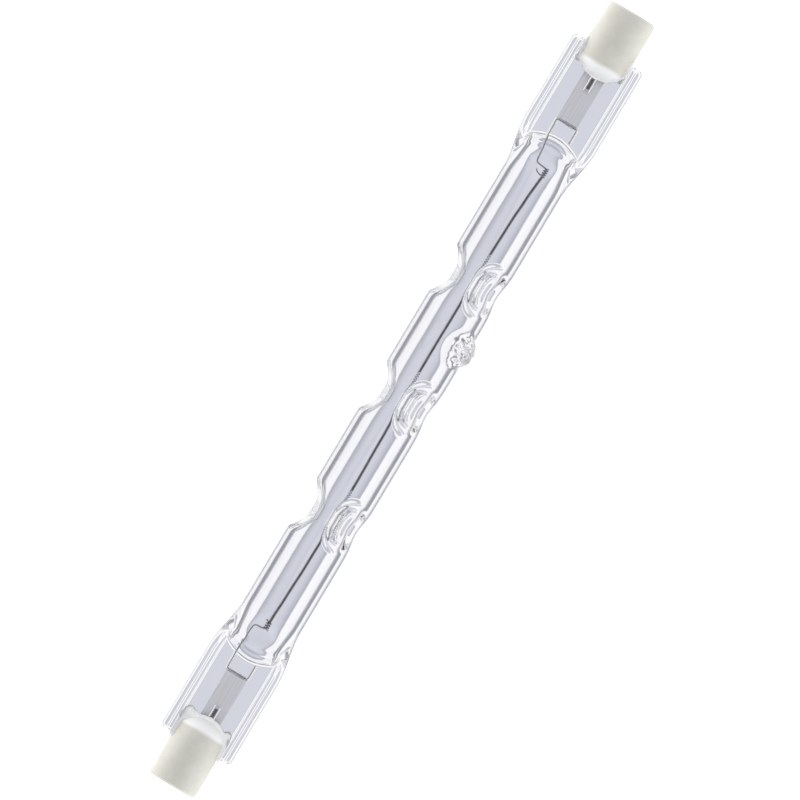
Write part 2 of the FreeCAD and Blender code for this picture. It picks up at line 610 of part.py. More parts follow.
def cement(end):
    """The cement of end b, squeezed out past the cap as far as at the named end."""
    reach = f"lamp.cement_reach_{end}"
    half_wide = f"({CAP_RADIUS} + {reach})"
    filling = make(
        "Part::Box", f"cement_filling_{end}",
        place=f"placement(vector(lamp.cap_start - {reach}; -{half_wide}; -{SLOT_HALF}); rotationx(0))",
        Length=f"{SLOT_FLOOR} - lamp.cap_start + {reach}", Width=f"2 * {half_wide}", Height=f"2 * {SLOT_HALF}")
    front = make(
        "Part::Prism", f"cement_front_{end}",
        place=f"placement(vector({NOSE_MIDDLE}; 0; -{SLOT_HALF} - {CLEAR}); rotationx(0))",
        Circumradius=f"{NOSE_RADIUS} + {reach}", Height=f"2 * ({SLOT_HALF} + {CLEAR})")
    front.Polygon = FRONT_SIDES
    paste = common(f"cement_paste_{end}", filling, front)
    return cut(f"cement_{end}_set", paste, fuse(f"cement_core_{end}", pressed_bar, outer_lead_b))


cement_b = cement("b")
cement_a = mirror("cement_a_mirrored", cement("a"))

# The finished pieces

finish("quartz_envelope", quartz)
finish("filament", filament)
finish("ceramic_cap_b", cap)
finish("contact_b", contact)
finish("cement_b", cement_b)
finish("cement_a", cement_a)
for name, source in (("ceramic_cap_a", cap), ("contact_a", contact)):
    other = mirror(f"{name}_mirrored", source)
    other.Label = name
    nodes[name] = other
for name, source in (("inner_lead_a", inner_lead_a), ("inner_lead_b", inner_lead_b), ("foil_a", foil_a),
                     ("foil_b", foil_b), ("outer_lead_a", outer_lead_a), ("outer_lead_b", outer_lead_b)):
    laid = doc.addObject("Part::Compound", f"{name}_laid")
    laid.Links = [source]
    finish(name, laid)

doc.recompute()

# Every object has to be sound before anything is written

for thing in doc.Objects:
    if "Invalid" in thing.State or "Error" in thing.State:
        raise RuntimeError(f"{thing.Name} failed: {thing.State}")
os.makedirs("parts", exist_ok=True)
for node, thing in nodes.items():
    shape = thing.Shape
    if shape.isNull() or not shape.isValid():
        raise RuntimeError(f"{node} has no sound shape")
    print(node, len(shape.Solids), round(shape.Volume, 3), shape.BoundBox)
    shape.exportStep(f"parts/{node}.step")
print("roll", rest_pose.Placement)
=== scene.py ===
# %% [markdown]
# A double-ended halogen lamp on a light table. A clear quartz tube holds a long tungsten coil. Three
# rings of dimples keep the coil in the middle, each end of the tube is pinched flat round a metal foil,
# and a slotted ceramic cap is cemented on each pinch.
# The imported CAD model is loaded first. It gives the true size and place of every piece. Each piece that
# shows is then remade over it with the small forms that a camera sees, and gets its own material.

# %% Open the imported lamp
import math

import bmesh
import bpy
from mathutils import Matrix, Vector, noise


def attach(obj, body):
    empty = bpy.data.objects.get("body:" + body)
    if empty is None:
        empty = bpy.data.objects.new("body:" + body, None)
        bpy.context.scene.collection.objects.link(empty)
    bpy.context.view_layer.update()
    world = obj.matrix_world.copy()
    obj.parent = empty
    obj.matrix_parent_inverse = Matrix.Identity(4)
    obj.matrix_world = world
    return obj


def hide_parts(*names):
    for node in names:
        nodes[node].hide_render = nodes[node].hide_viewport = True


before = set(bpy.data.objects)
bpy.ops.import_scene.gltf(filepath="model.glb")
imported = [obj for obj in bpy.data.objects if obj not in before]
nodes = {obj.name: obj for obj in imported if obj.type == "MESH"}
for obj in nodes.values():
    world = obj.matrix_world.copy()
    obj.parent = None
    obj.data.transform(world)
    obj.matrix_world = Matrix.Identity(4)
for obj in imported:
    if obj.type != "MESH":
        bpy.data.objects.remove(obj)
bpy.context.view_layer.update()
print("nodes:", ", ".join(sorted(nodes)))

# %% [markdown]
# The lamp is drawn level first: X runs along the tube with its middle at 0, the flat seals lie in the
# XY plane, and Z points at the camera. All of that is in millimetres, because bevels and booleans work
# badly on shapes of a tenth of a thousandth of a metre. Each finished mesh is then rolled, lifted and
# scaled into the CAD frame, where the lamp lies on its tube and on the corners of its two seals.

# %% The level frame and the frame of the CAD model
TUBE_RADIUS = 4.35
ROLL = math.radians(34.8028)
MILLIMETRE = 0.001

roll = Matrix.Rotation(ROLL, 4, "X")
lay_down = Matrix.Scale(MILLIMETRE, 4) @ Matrix.Translation((0, 0, TUBE_RADIUS)) @ roll
print("the level frame's Z in the CAD frame:", [round(v, 3) for v in roll @ Vector((0, 0, 1))])

# %% [markdown]
# The camera looks straight along the seals' normal. A very long lens shows no taper, as an orthographic
# camera would, and it still gives natural views from other sides. The lamp's axis stands 59 degrees
# above the picture's lower edge. The frame is 104.6 mm wide, which is 800 pixels at 7.65 pixels to a
# millimetre.

# %% Camera
AXIS_SLOPE = math.radians(59.13)
FRAME_WIDTH = 104.575
LENS = 600.0
SENSOR = 36.0
NEAREST = 0.01
FARTHEST = 20.0
FRAME_SHIFT = Vector((-0.26, -0.13))

right = Vector((math.cos(AXIS_SLOPE), -math.sin(AXIS_SLOPE), 0))
up = Vector((math.sin(AXIS_SLOPE), math.cos(AXIS_SLOPE), 0))
towards = Vector((0, 0, 1))
distance = FRAME_WIDTH * LENS / SENSOR
eye = right * FRAME_SHIFT.x + up * FRAME_SHIFT.y + towards * distance

camera_data = bpy.data.cameras.new("long_lens")
camera_data.lens = LENS
camera_data.sensor_width = SENSOR
camera_data.clip_start = NEAREST
camera_data.clip_end = FARTHEST
camera = bpy.data.objects.new("camera", camera_data)
bpy.context.scene.collection.objects.link(camera)
pose = Matrix((right, up, towards)).transposed().to_4x4()
camera.matrix_world = Matrix.Translation(lay_down @ eye) @ roll @ pose
bpy.context.scene.camera = camera
bpy.context.scene.view_settings.view_transform = "Standard"
print("camera at", [round(v, 3) for v in camera.matrix_world.translation])

# %% [markdown]
# Materials and node groups are built with one small function. It adds a node, sets its properties and
# fills each input either with a number or with another node's output. Colours are written as the hex
# values that a colour picker shows, and one function turns them to the linear values of the shader.
# Object coordinates are in metres, so a texture's Scale counts its grains in a metre. A third function
# works it out from the number of grains in a millimetre, which is easier to picture.

# %% Node and colour helpers


def add_node(tree, kind, settings=None, inputs=None):
    """Adds a node to a tree. An input takes a number, a colour or another node's output socket."""
    node = tree.nodes.new(kind)
    for name, setting in (settings or {}).items():
        setattr(node, name, setting)
    for name, source in (inputs or {}).items():
        if isinstance(source, bpy.types.NodeSocket):
            tree.links.new(source, node.inputs[name])
        else:
            node.inputs[name].default_value = source
    return node


def colour(code):
    """The linear RGBA of an sRGB hex colour such as #d8d4c8."""
    channels = [int(code[at:at + 2], 16) / 255 for at in (1, 3, 5)]
    linear = [c / 12.92 if c <= 0.04045 else ((c + 0.055) / 1.055) ** 2.4 for c in channels]
    return (*linear, 1)


def grains(per_millimetre):
    """The Scale of a texture with this many grains in a millimetre."""
    return per_millimetre / MILLIMETRE


def new_material(name):
    """A material with an empty tree and its output node."""
    material = bpy.data.materials.new(name)
    material.use_nodes = True
    material.node_tree.nodes.clear()
    output = add_node(material.node_tree, "ShaderNodeOutputMaterial")
    return material, material.node_tree, output


print("mid grey is", round(colour("#808080")[0], 3), "in linear light")

# %% [markdown]
# Fused quartz is a clear glass with an IOR of 1.458. The tube is drawn through a die and fire polished,
# so it is quite smooth, with very faint streaks along its length. The pinch is pressed by steel jaws
# and comes out slightly wavy. A noise stretched to 25 mm gives the streaks and one with grains of about
# a millimetre the waves. Both only bend the light a little through the bump, because the glass itself
# has no colour to vary. Where the skin turns away from the eye, Layer Weight greys the glass's colour.
# That grey is painted shade: it stands in for the dark outline that a glass edge shows.

# %% Fused quartz
POLISHED = 0.01 * MILLIMETRE

quartz_glass, tree, output = new_material("fused_quartz_clear")
place = add_node(tree, "ShaderNodeTexCoord").outputs["Object"]
drawn = add_node(tree, "ShaderNodeMapping", inputs={
    "Vector": place, "Scale": (grains(0.04), grains(0.9), grains(0.9))})
streaks = add_node(tree, "ShaderNodeTexNoise", inputs={
    "Vector": drawn.outputs["Vector"], "Scale": 1.0, "Detail": 2.0, "Roughness": 0.5})
waves = add_node(tree, "ShaderNodeTexNoise", inputs={
    "Vector": place, "Scale": grains(0.9), "Detail": 2.0, "Roughness": 0.45})
relief = add_node(tree, "ShaderNodeMath", {"operation": "ADD"}, {
    0: streaks.outputs["Fac"], 1: waves.outputs["Fac"]})
bump = add_node(tree, "ShaderNodeBump", inputs={
    "Height": relief.outputs["Value"], "Strength": 0.25, "Distance": POLISHED})
# Painted shade: the glass's colour turns grey where its skin turns from the eye, drawing a dark outline at
# the edges.
turned_away = add_node(tree, "ShaderNodeLayerWeight", inputs={"Blend": 0.5}).outputs["Facing"]
edge = add_node(tree, "ShaderNodeMapRange", {"interpolation_type": "SMOOTHSTEP"}, {
    "Value": turned_away, "From Min": 0.5, "From Max": 0.72})
painted_edge_shade = add_node(tree, "ShaderNodeMix", {"data_type": "RGBA"}, {
    "Factor": edge.outputs["Result"], 6: colour("#fbfbfd"), 7: colour("#767884")})
shader = add_node(tree, "ShaderNodeBsdfPrincipled", inputs={
    "Base Color": painted_edge_shade.outputs[2], "Roughness": 0.0, "IOR": 1.458, "Transmission Weight": 1.0,
    "Normal": bump.outputs["Normal"]})
tree.links.new(shader.outputs["BSDF"], output.inputs["Surface"])
print("material:", quartz_glass.name)

# %% [markdown]
# Heat leaves a dark grey skin on a bare wire, with a dull sheen and a fine speckle. Two wires have it:
# the tungsten coil, which is drawn at red heat and then glows, and the molybdenum wires outside the
# seals, which oxidise while the seals are made. One function makes both finishes. A flat grey would do
# from afar, but close up it looks like plastic, so a noise of 0.2 mm shifts the tone.

# %% Wires darkened by heat


def heat_darkened(name):
    """The finish of a metal wire with a dark skin."""
    material, tree, output = new_material(name)
    place = add_node(tree, "ShaderNodeTexCoord").outputs["Object"]
    speckle = add_node(tree, "ShaderNodeTexNoise", inputs={
        "Vector": place, "Scale": grains(5), "Detail": 3.0, "Roughness": 0.6})
    tone = add_node(tree, "ShaderNodeValToRGB", inputs={"Fac": speckle.outputs["Fac"]})
    tone.color_ramp.elements[0].color = colour("#3c3c40")
    tone.color_ramp.elements[1].color = colour("#66666c")
    shader = add_node(tree, "ShaderNodeBsdfPrincipled", inputs={
        "Base Color": tone.outputs["Color"], "Metallic": 1.0, "Roughness": 0.45})
    tree.links.new(shader.outputs["BSDF"], output.inputs["Surface"])
    return material


tungsten_coil = heat_darkened("tungsten_wire_coiled")
molybdenum_wire = heat_darkened("molybdenum_wire_oxidised")
print("materials:", tungsten_coil.name, molybdenum_wire.name)

# %% [markdown]
# The inner leads are tungsten too, but the flame of the sealing machine has cleaned them, so they are
# lighter and a little uneven. One noise of 0.4 mm drives the tone, the roughness and the bump, so that
# a pale place is also a rougher one, as on a real wire.

# %% Tungsten leads
tungsten_lead, tree, output = new_material("tungsten_wire_drawn")
place = add_node(tree, "ShaderNodeTexCoord").outputs["Object"]
speckle = add_node(tree, "ShaderNodeTexNoise", inputs={
    "Vector": place, "Scale": grains(2.5), "Detail": 4.0, "Roughness": 0.6})
tone = add_node(tree, "ShaderNodeValToRGB", inputs={"Fac": speckle.outputs["Fac"]})
tone.color_ramp.elements[0].color = colour("#66666b")
tone.color_ramp.elements[1].color = colour("#a5a5aa")
sheen = add_node(tree, "ShaderNodeMapRange", inputs={
    "Value": speckle.outputs["Fac"], "To Min": 0.28, "To Max": 0.5})
bump = add_node(tree, "ShaderNodeBump", inputs={
    "Height": speckle.outputs["Fac"], "Strength": 0.4, "Distance": POLISHED})
shader = add_node(tree, "ShaderNodeBsdfPrincipled", inputs={
    "Base Color": tone.outputs["Color"], "Metallic": 1.0, "Roughness": sheen.outputs["Result"],
    "Normal": bump.outputs["Normal"]})
tree.links.new(shader.outputs["BSDF"], output.inputs["Surface"])
print("material:", tungsten_lead.name)

# %% [markdown]
# The seal works because a molybdenum foil, thinner than a hair, can stretch with the quartz. It is
# rolled, etched to knife edges and dull silver. Rolling leaves faint lines along it. A noise that is
# squeezed across the foil and stretched along it draws them, in the tone and in the bump. Real ones lie
# closer than 0.2 mm, which the render would blur, so these are as coarse as they need to be to show.

# %% Molybdenum foil
molybdenum_foil, tree, output = new_material("molybdenum_rolled")
place = add_node(tree, "ShaderNodeTexCoord").outputs["Object"]
rolled = add_node(tree, "ShaderNodeMapping", inputs={
    "Vector": place, "Scale": (grains(0.15), grains(5), grains(5))})
lines = add_node(tree, "ShaderNodeTexNoise", inputs={
    "Vector": rolled.outputs["Vector"], "Scale": 1.0, "Detail": 3.0, "Roughness": 0.55})
tone = add_node(tree, "ShaderNodeValToRGB", inputs={"Fac": lines.outputs["Fac"]})
tone.color_ramp.elements[0].position = 0.25
tone.color_ramp.elements[0].color = colour("#d8d8dc")
tone.color_ramp.elements[1].position = 0.8
tone.color_ramp.elements[1].color = colour("#ececf0")
bump = add_node(tree, "ShaderNodeBump", inputs={
    "Height": lines.outputs["Fac"], "Strength": 0.3, "Distance": POLISHED})
shader = add_node(tree, "ShaderNodeBsdfPrincipled", inputs={
    "Base Color": tone.outputs["Color"], "Metallic": 1.0, "Roughness": 0.45,
    "Normal": bump.outputs["Normal"]})
tree.links.new(shader.outputs["BSDF"], output.inputs["Surface"])
print("material:", molybdenum_foil.name)

# %% [markdown]
# The caps are steatite, a pressed and fired ceramic. It is left unglazed, so it is matt, creamy white
# and slightly mottled, with fine grit and a few dark specks. A slow noise of about 2 mm mottles it, a
# Voronoi pattern sets the specks and a fine noise the grit. Wet cement has been wiped over the nose as
# far as a ragged line, which the same slow noise bends. The line is a distance along the lamp, so the
# material reads X, and the coat needs no mesh of its own.

# %% Steatite ceramic
SMEAR_START = 50.8 * MILLIMETRE
SMEAR_FINISH = 51.3 * MILLIMETRE
SMEAR_WANDER = 0.6 * MILLIMETRE

steatite, tree, output = new_material("steatite_unglazed")
place = add_node(tree, "ShaderNodeTexCoord").outputs["Object"]
cloud = add_node(tree, "ShaderNodeTexNoise", inputs={
    "Vector": place, "Scale": grains(0.45), "Detail": 4.0, "Roughness": 0.6})
tone = add_node(tree, "ShaderNodeValToRGB", inputs={"Fac": cloud.outputs["Fac"]})
tone.color_ramp.elements[0].position = 0.3
tone.color_ramp.elements[0].color = colour("#cfcdc0")
tone.color_ramp.elements[1].position = 0.75
tone.color_ramp.elements[1].color = colour("#dad8cd")
dots = add_node(tree, "ShaderNodeTexVoronoi", inputs={
    "Vector": place, "Scale": grains(1.1), "Randomness": 1.0})
speck = add_node(tree, "ShaderNodeMapRange", inputs={
    "Value": dots.outputs["Distance"], "From Min": 0.05, "From Max": 0.11, "To Min": 0.35, "To Max": 0.0})
mottled = add_node(tree, "ShaderNodeMix", {"data_type": "RGBA"}, {
    "Factor": speck.outputs["Result"], 6: tone.outputs["Color"], 7: colour("#b9b2a0")})
grit = add_node(tree, "ShaderNodeTexNoise", inputs={
    "Vector": place, "Scale": grains(6), "Detail": 3.0, "Roughness": 0.7})
bump = add_node(tree, "ShaderNodeBump", inputs={
    "Height": grit.outputs["Fac"], "Strength": 0.5, "Distance": 0.03 * MILLIMETRE})
parted = add_node(tree, "ShaderNodeSeparateXYZ", inputs={"Vector": place})
out_along = add_node(tree, "ShaderNodeMath", {"operation": "ABSOLUTE"}, {0: parted.outputs["X"]})
ragged = add_node(tree, "ShaderNodeMath", {"operation": "MULTIPLY_ADD"}, {
    0: cloud.outputs["Fac"], 1: SMEAR_WANDER, 2: out_along.outputs["Value"]})
smear = add_node(tree, "ShaderNodeMapRange", inputs={
    "Value": ragged.outputs["Value"], "From Min": SMEAR_START, "From Max": SMEAR_FINISH,
    "To Min": 1.0, "To Max": 0.0})
coated = add_node(tree, "ShaderNodeMix", {"data_type": "RGBA"}, {
    "Factor": smear.outputs["Result"], 6: mottled.outputs[2], 7: colour("#fafaf7")})
shader = add_node(tree, "ShaderNodeBsdfPrincipled", inputs={
    "Base Color": coated.outputs[2], "Roughness": 0.62, "Normal": bump.outputs["Normal"]})
tree.links.new(shader.outputs["BSDF"], output.inputs["Surface"])
print("material:", steatite.name)

# %% [markdown]
# The cement is chalkier, whiter and much rougher than the caps, because it is a wet paste of silica that
# dries as it was squeezed. A noise with grains of a third of a millimetre gives both its tone and its
# crumbly bump. The lobes themselves are real mesh, because a bump can't change an outline.

# %% Lamp cement
lamp_cement, tree, output = new_material("silica_cement_dried")
place = add_node(tree, "ShaderNodeTexCoord").outputs["Object"]
grain = add_node(tree, "ShaderNodeTexNoise", inputs={
    "Vector": place, "Scale": grains(3), "Detail": 5.0, "Roughness": 0.7})
tone = add_node(tree, "ShaderNodeValToRGB", inputs={"Fac": grain.outputs["Fac"]})
tone.color_ramp.elements[0].color = colour("#f3f3f0")
tone.color_ramp.elements[1].color = colour("#fefefc")
bump = add_node(tree, "ShaderNodeBump", inputs={
    "Height": grain.outputs["Fac"], "Strength": 0.7, "Distance": 0.06 * MILLIMETRE})
shader = add_node(tree, "ShaderNodeBsdfPrincipled", inputs={
    "Base Color": tone.outputs["Color"], "Roughness": 0.9, "Normal": bump.outputs["Normal"]})
tree.links.new(shader.outputs["BSDF"], output.inputs["Surface"])
print("material:", lamp_cement.name)

# %% [markdown]
# The contact button is nickel-plated and stamped. Its face is bright, with fine rings round its middle
# from the stamp and dull places from the test socket. A Wave texture in ring form needs its centre on
# the lamp's axis, so a Mapping node moves the coordinates there.

# %% Nickel contact
nickel, tree, output = new_material("nickel_plated_stamped")
place = add_node(tree, "ShaderNodeTexCoord").outputs["Object"]
centred = add_node(tree, "ShaderNodeMapping", inputs={
    "Vector": place, "Location": (0, 0, -TUBE_RADIUS * MILLIMETRE)})
rings = add_node(tree, "ShaderNodeTexWave", {
    "wave_type": "RINGS", "rings_direction": "X"}, {
    "Vector": centred.outputs["Vector"], "Scale": grains(1.2), "Distortion": 1.5, "Detail": 2.0})
rub = add_node(tree, "ShaderNodeTexNoise", inputs={
    "Vector": place, "Scale": grains(1.5), "Detail": 4.0, "Roughness": 0.6})
sheen = add_node(tree, "ShaderNodeMapRange", inputs={
    "Value": rub.outputs["Fac"], "To Min": 0.2, "To Max": 0.42})
bump = add_node(tree, "ShaderNodeBump", inputs={
    "Height": rings.outputs["Fac"], "Strength": 0.25, "Distance": POLISHED})
shader = add_node(tree, "ShaderNodeBsdfPrincipled", inputs={
    "Base Color": colour("#c9c4b8"), "Metallic": 1.0, "Roughness": sheen.outputs["Result"],
    "Normal": bump.outputs["Normal"]})
tree.links.new(shader.outputs["BSDF"], output.inputs["Surface"])
print("material:", nickel.name)

# %% [markdown]
# Every finished piece is handed over in the same way: its mesh is laid down into the CAD frame, shaded
# smooth except at real edges, given its material and tied to the body, and the CAD node that it stands
# for is hidden. The place goes into the mesh and the object stays at the origin, so that the patterns on
# Object coordinates stay where they are when the piece moves.

# %% Hand over a finished piece
SHARP_EDGE = math.radians(38)


def add_object(name, data):
    """A new object in the scene."""
    piece = bpy.data.objects.new(name, data)
    bpy.context.scene.collection.objects.link(piece)
    return piece


def hand_over(name, mesh, material, node):
    """Lays a mesh in the CAD frame as the piece that replaces a CAD node."""
    mesh.transform(lay_down)
    mesh.name = name
    mesh.materials.clear()
    mesh.materials.append(material)
    mesh.shade_smooth()
    mesh.set_sharp_from_angle(angle=SHARP_EDGE)
    piece = add_object(name, mesh)
    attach(piece, "root")
    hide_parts(node)
    mesh.calc_loop_triangles()
    print(f"{name}: {len(mesh.loop_triangles)} triangles")
    return piece


# %% [markdown]
# The quartz is one closed skin outside and one inside. Each is a loft: a row of rings along X, and every
# ring has the same number of points, so neighbouring rings join with quads. Sculpting or booleans could
# make the dimples too, but glass shows every ripple of a mesh, and a loft from formulas has none.
# Two small functions shape everything. One is a smooth step. The other is a soft minimum, which gives
# the smaller of two radii with a round change between them, as hot glass has.

# %% Sizes of the tube in millimetres, and two soft functions
BORE_RADIUS = 3.35
RING_PLACES = (-18.2, -0.3, 17.6)
ROUND_END = 32.0
SHOULDER_START = 32.8
SHOULDER_FINISH = 40.0
SEAL_FINISH = 52.75


def ease(low, high, at):
    """A smooth step from 0 at low to 1 at high."""
    share = min(max((at - low) / (high - low), 0), 1)
    return share * share * (3 - 2 * share)


def soft_min(one, other, softness):
    """The smaller of two numbers, rounded off where they are nearly equal."""
    overlap = max(softness - abs(one - other), 0) / softness
    return min(one, other) - overlap * overlap * softness / 4


print("three rings of dimples at", RING_PLACES)

# %% [markdown]
# A dimple is a valley pressed towards the axis, so it only changes the radius of the rings near it. Its
# floor is flat along the lamp for a little way and then rises, faster and faster, up to the tube's own
# radius. Round the tube it rises to a rim. Each ring has three dimples, and the one at the side of the
# picture is pressed wider than its two neighbours. Between the dimples the tube sinks in a little,
# because the pressing pulls the soft glass along.

# %% Dimples
DIMPLE_TURNS = (0, 125, 235)
DIMPLE_SPREADS = (46, 33, 33)
DIMPLES = [
    (math.radians(turn), math.radians(spread)) for turn, spread in zip(DIMPLE_TURNS, DIMPLE_SPREADS)]
DIMPLE_FLOOR = 2.3
DIMPLE_WALL = 0.95
DIMPLE_REACH = 3.35
DIMPLE_MARGIN = 1.2
DIMPLE_SIDE = math.radians(75)
FLAT_FLOOR = 0.6
FLOOR_CURVE = 1.8
OUTER_SOFTNESS = 0.45
INNER_SOFTNESS = 1.1
RIDGE_SINK = 0.4
RIDGE_LENGTH = 2.0


def turn_between(one, other):
    """The signed angle from one direction round the tube to another."""
    return (one - other + math.pi) % math.tau - math.pi


def dimpled_radius(along, turn, full_radius, floor, softness):
    """The radius of the tube's skin, with the three valleys of the nearest ring pressed in."""
    radius = full_radius
    for place in RING_PLACES:
        reach = abs(along - place)
        if reach > DIMPLE_REACH + DIMPLE_MARGIN:
            continue
        radius -= RIDGE_SINK * math.exp(-((reach / RIDGE_LENGTH) ** 2))
        run = max(reach - FLAT_FLOOR, 0) / (DIMPLE_REACH - FLAT_FLOOR)
        end_rise = (TUBE_RADIUS - DIMPLE_FLOOR) * run ** FLOOR_CURVE
        for dimple, spread in DIMPLES:
            aside = abs(turn_between(turn, dimple))
            if aside > DIMPLE_SIDE:
                continue
            rim_rise = TUBE_RADIUS * math.cos(spread) - DIMPLE_FLOOR
            side_rise = rim_rise * (math.tan(aside) / math.tan(spread)) ** 2
            valley = (floor + side_rise + end_rise) / math.cos(aside)
            radius = soft_min(radius, valley, softness)
    return radius


deepest = dimpled_radius(RING_PLACES[1], 0, TUBE_RADIUS, DIMPLE_FLOOR, OUTER_SOFTNESS)
print("outer radius in a dimple:", round(deepest, 2))

# %% [markdown]
# The exhaust tip is where the glass pipe for the gas was melted off. It is a low knob with steep sides
# outside and a shallow pit inside, so the same function makes both, with other sizes. A fractal noise
# on the way along and round the tube leaves it lumpy. It adds three layers, each 2.1 times finer than
# the one before and weaker. The knob's height goes in as the noise's third coordinate, so that the pit
# gets lumps of its own.

# %% Exhaust tip
TIP_PLACE = 9.3
TIP_TURN = math.radians(140)
TIP_LUMPS = 0.3
LUMP_SCALE = 1.6
LUMP_FADE = 0.7
LUMP_LAYERS = 3
FINER = 2.1
KNOB = {"height": 1.25, "size": 2.2, "steepness": 5.0}
PIT = {"height": 0.2, "size": 1.2, "steepness": 2.4}


def tip_rise(along, turn, height, size, steepness):
    """How far the exhaust tip lifts the skin of the tube."""
    aside = TUBE_RADIUS * turn_between(turn, TIP_TURN)
    reach = math.hypot(along - TIP_PLACE, aside)
    rise = height * math.exp(-((reach / size) ** steepness))
    if reach > 2 * size:
        return rise
    spot = Vector((along * LUMP_SCALE, aside * LUMP_SCALE, height))
    return rise * (1 + TIP_LUMPS * noise.fractal(spot, LUMP_FADE, FINER, LUMP_LAYERS))


print("the tip rises", round(tip_rise(TIP_PLACE, TIP_TURN, **KNOB), 2), "mm")

# %% [markdown]
# The seal's outline is a flat bar with rounded edges. Its points are spaced evenly along the outline and
# start at the same side as the circle's, so the two blend point by point without a twist. The pressed
# flat is then sunk between the two thick edges, and its inner end is bowed like the jaw that made it.
# The tube gets flatter and wider at slightly different places, so that the shoulder stays soft.

# %% Rings of the outside
ROUND_POINTS = 132
SEAL_HALF_WIDTH = 5.3
SEAL_CORNER = 0.4
FLARE_START = 33.0
FLARE_FINISH = 40.6
RAIL_HALF_HEIGHT = 1.9
RAIL_ROUND = 1.85
WEB_HALF_HEIGHT = 1.1
WEB_START = 39.7
WEB_BOW = 1.3
WEB_BEND = 3.75
WEB_HALF_WIDTH = 4.05
PRESS_SLOPE = 0.9
PRESS_RAMP = 1.7
PRESS_FOOT = 0.25


def bar_point(share, half_width, half_height, rounding):
    """The point at a share of the way round a bar with rounded corners, from +Y towards +Z."""
    flat = half_width - rounding
    rise = half_height - rounding
    corner = math.pi * rounding / 2
    quarter = rise + corner + flat
    quadrant, part = divmod(share * 4, 1)
    travel = (part if quadrant % 2 == 0 else 1 - part) * quarter
    if travel < rise:
        y, z = half_width, travel
    elif travel < rise + corner:
        turn = (travel - rise) / rounding
        y, z = flat + rounding * math.cos(turn), rise + rounding * math.sin(turn)
    else:
        y, z = flat - (travel - rise - corner), half_height
    return (y if quadrant in (0, 3) else -y), (z if quadrant in (0, 1) else -z)


def pressed_in(height, far, web_edge, share=1.0):
    """A height near the seal after the jaws have pressed the web in, by a share of the full depth."""
    sunk = share * ease(web_edge - PRESS_RAMP, web_edge + PRESS_FOOT, far)
    return height - max(height - WEB_HALF_HEIGHT, 0) * sunk


def outside_ring(along):
    """The points of the outside of the glass at one place along the lamp."""
    far = abs(along)
    squeeze = ease(SHOULDER_START, SHOULDER_FINISH, far)
    flare = ease(FLARE_START, FLARE_FINISH, far)
    half_width = SEAL_HALF_WIDTH - max(far - (SEAL_FINISH - SEAL_CORNER), 0)
    points = []
    for number in range(ROUND_POINTS):
        share = number / ROUND_POINTS
        turn = math.tau * share
        radius = TUBE_RADIUS
        if far < ROUND_END:
            radius = dimpled_radius(along, turn, TUBE_RADIUS, DIMPLE_FLOOR, OUTER_SOFTNESS)
            radius += tip_rise(along, turn, **KNOB)
        y, z = radius * math.cos(turn), radius * math.sin(turn)
        if squeeze > 0 or flare > 0:
            bar_y, bar_z = bar_point(share, half_width, RAIL_HALF_HEIGHT, RAIL_ROUND)
            y += (bar_y - y) * flare
            z += (bar_z - z) * squeeze
            web_edge = WEB_START - WEB_BOW * (min(abs(y), WEB_BEND) / WEB_BEND) ** 2
            on_web = 1 - ease(WEB_HALF_WIDTH - PRESS_SLOPE / 2, WEB_HALF_WIDTH + PRESS_SLOPE / 2, abs(y))
            z = math.copysign(pressed_in(abs(z), far, web_edge, on_web), z)
        points.append(Vector((along, y, z)))
    return points


print("width of the seal:", round(2 * max(p.y for p in outside_ring(45)), 2))

# %% [markdown]
# The gas space follows the outside at an even wall, because a wall that gets thicker works as a lens and
# turns the grey of the glass white. It is round in the tube and becomes a flat pocket in the shoulder,
# whose section is a superellipse: an oval whose sides get straighter as its power falls. Its end is
# bowed like the web's.

# %% Rings of the gas space
GAS_POINTS = 112
GAS_FINISH = 39.4
GAS_CLOSED = 39.55
GAS_EDGE = 0.12
GAS_TAPER = 0.25
GAS_SQUARENESS = 1.2
GAS_BOW = 1.2
GAS_BOW_START = 35.5
CLOSED_HALF_HEIGHT = 0.04
CLOSED_INSET = 0.1


def gas_ring(along):
    """The points of the inside of the glass at one place along the lamp."""
    far = abs(along)
    shoulder = TUBE_RADIUS + (RAIL_HALF_HEIGHT - TUBE_RADIUS) * ease(SHOULDER_START, SHOULDER_FINISH, far)
    skin = pressed_in(shoulder, far, WEB_START)
    narrowing = ease(SHOULDER_START, GAS_FINISH, far)
    half_height = max(skin - (TUBE_RADIUS - BORE_RADIUS), GAS_EDGE)
    half_width = BORE_RADIUS - GAS_TAPER * narrowing
    if far > GAS_FINISH:
        half_height = CLOSED_HALF_HEIGHT
        half_width -= CLOSED_INSET
    power = 2 / (2 + GAS_SQUARENESS * narrowing)
    bow = GAS_BOW * ease(GAS_BOW_START, GAS_FINISH, far)
    points = []
    for number in range(GAS_POINTS):
        turn = math.tau * number / GAS_POINTS
        if far < ROUND_END:
            radius = dimpled_radius(along, turn, BORE_RADIUS, DIMPLE_FLOOR - DIMPLE_WALL, INNER_SOFTNESS)
            radius += tip_rise(along, turn, **PIT)
            y, z = radius * math.cos(turn), radius * math.sin(turn)
        else:
            y = math.copysign(half_width * abs(math.cos(turn)) ** power, math.cos(turn))
            z = math.copysign(half_height * abs(math.sin(turn)) ** power, math.sin(turn))
        fall_back = math.copysign(bow * (y / BORE_RADIUS) ** 2, along)
        points.append(Vector((along - fall_back, y, z)))
    return points


print("bore:", round(2 * max(p.y for p in gas_ring(25)), 2))

# %% [markdown]
# A straight tube needs few rings and a dimple many. So each ring asks how far the next one may be: a
# sixth of a millimetre where the shape changes, and more elsewhere. The last ring overshoots the end,
# and the whole row is then stretched to fit. The end faces are strips of quads across the ring, because
# one face with 132 corners would shade badly.

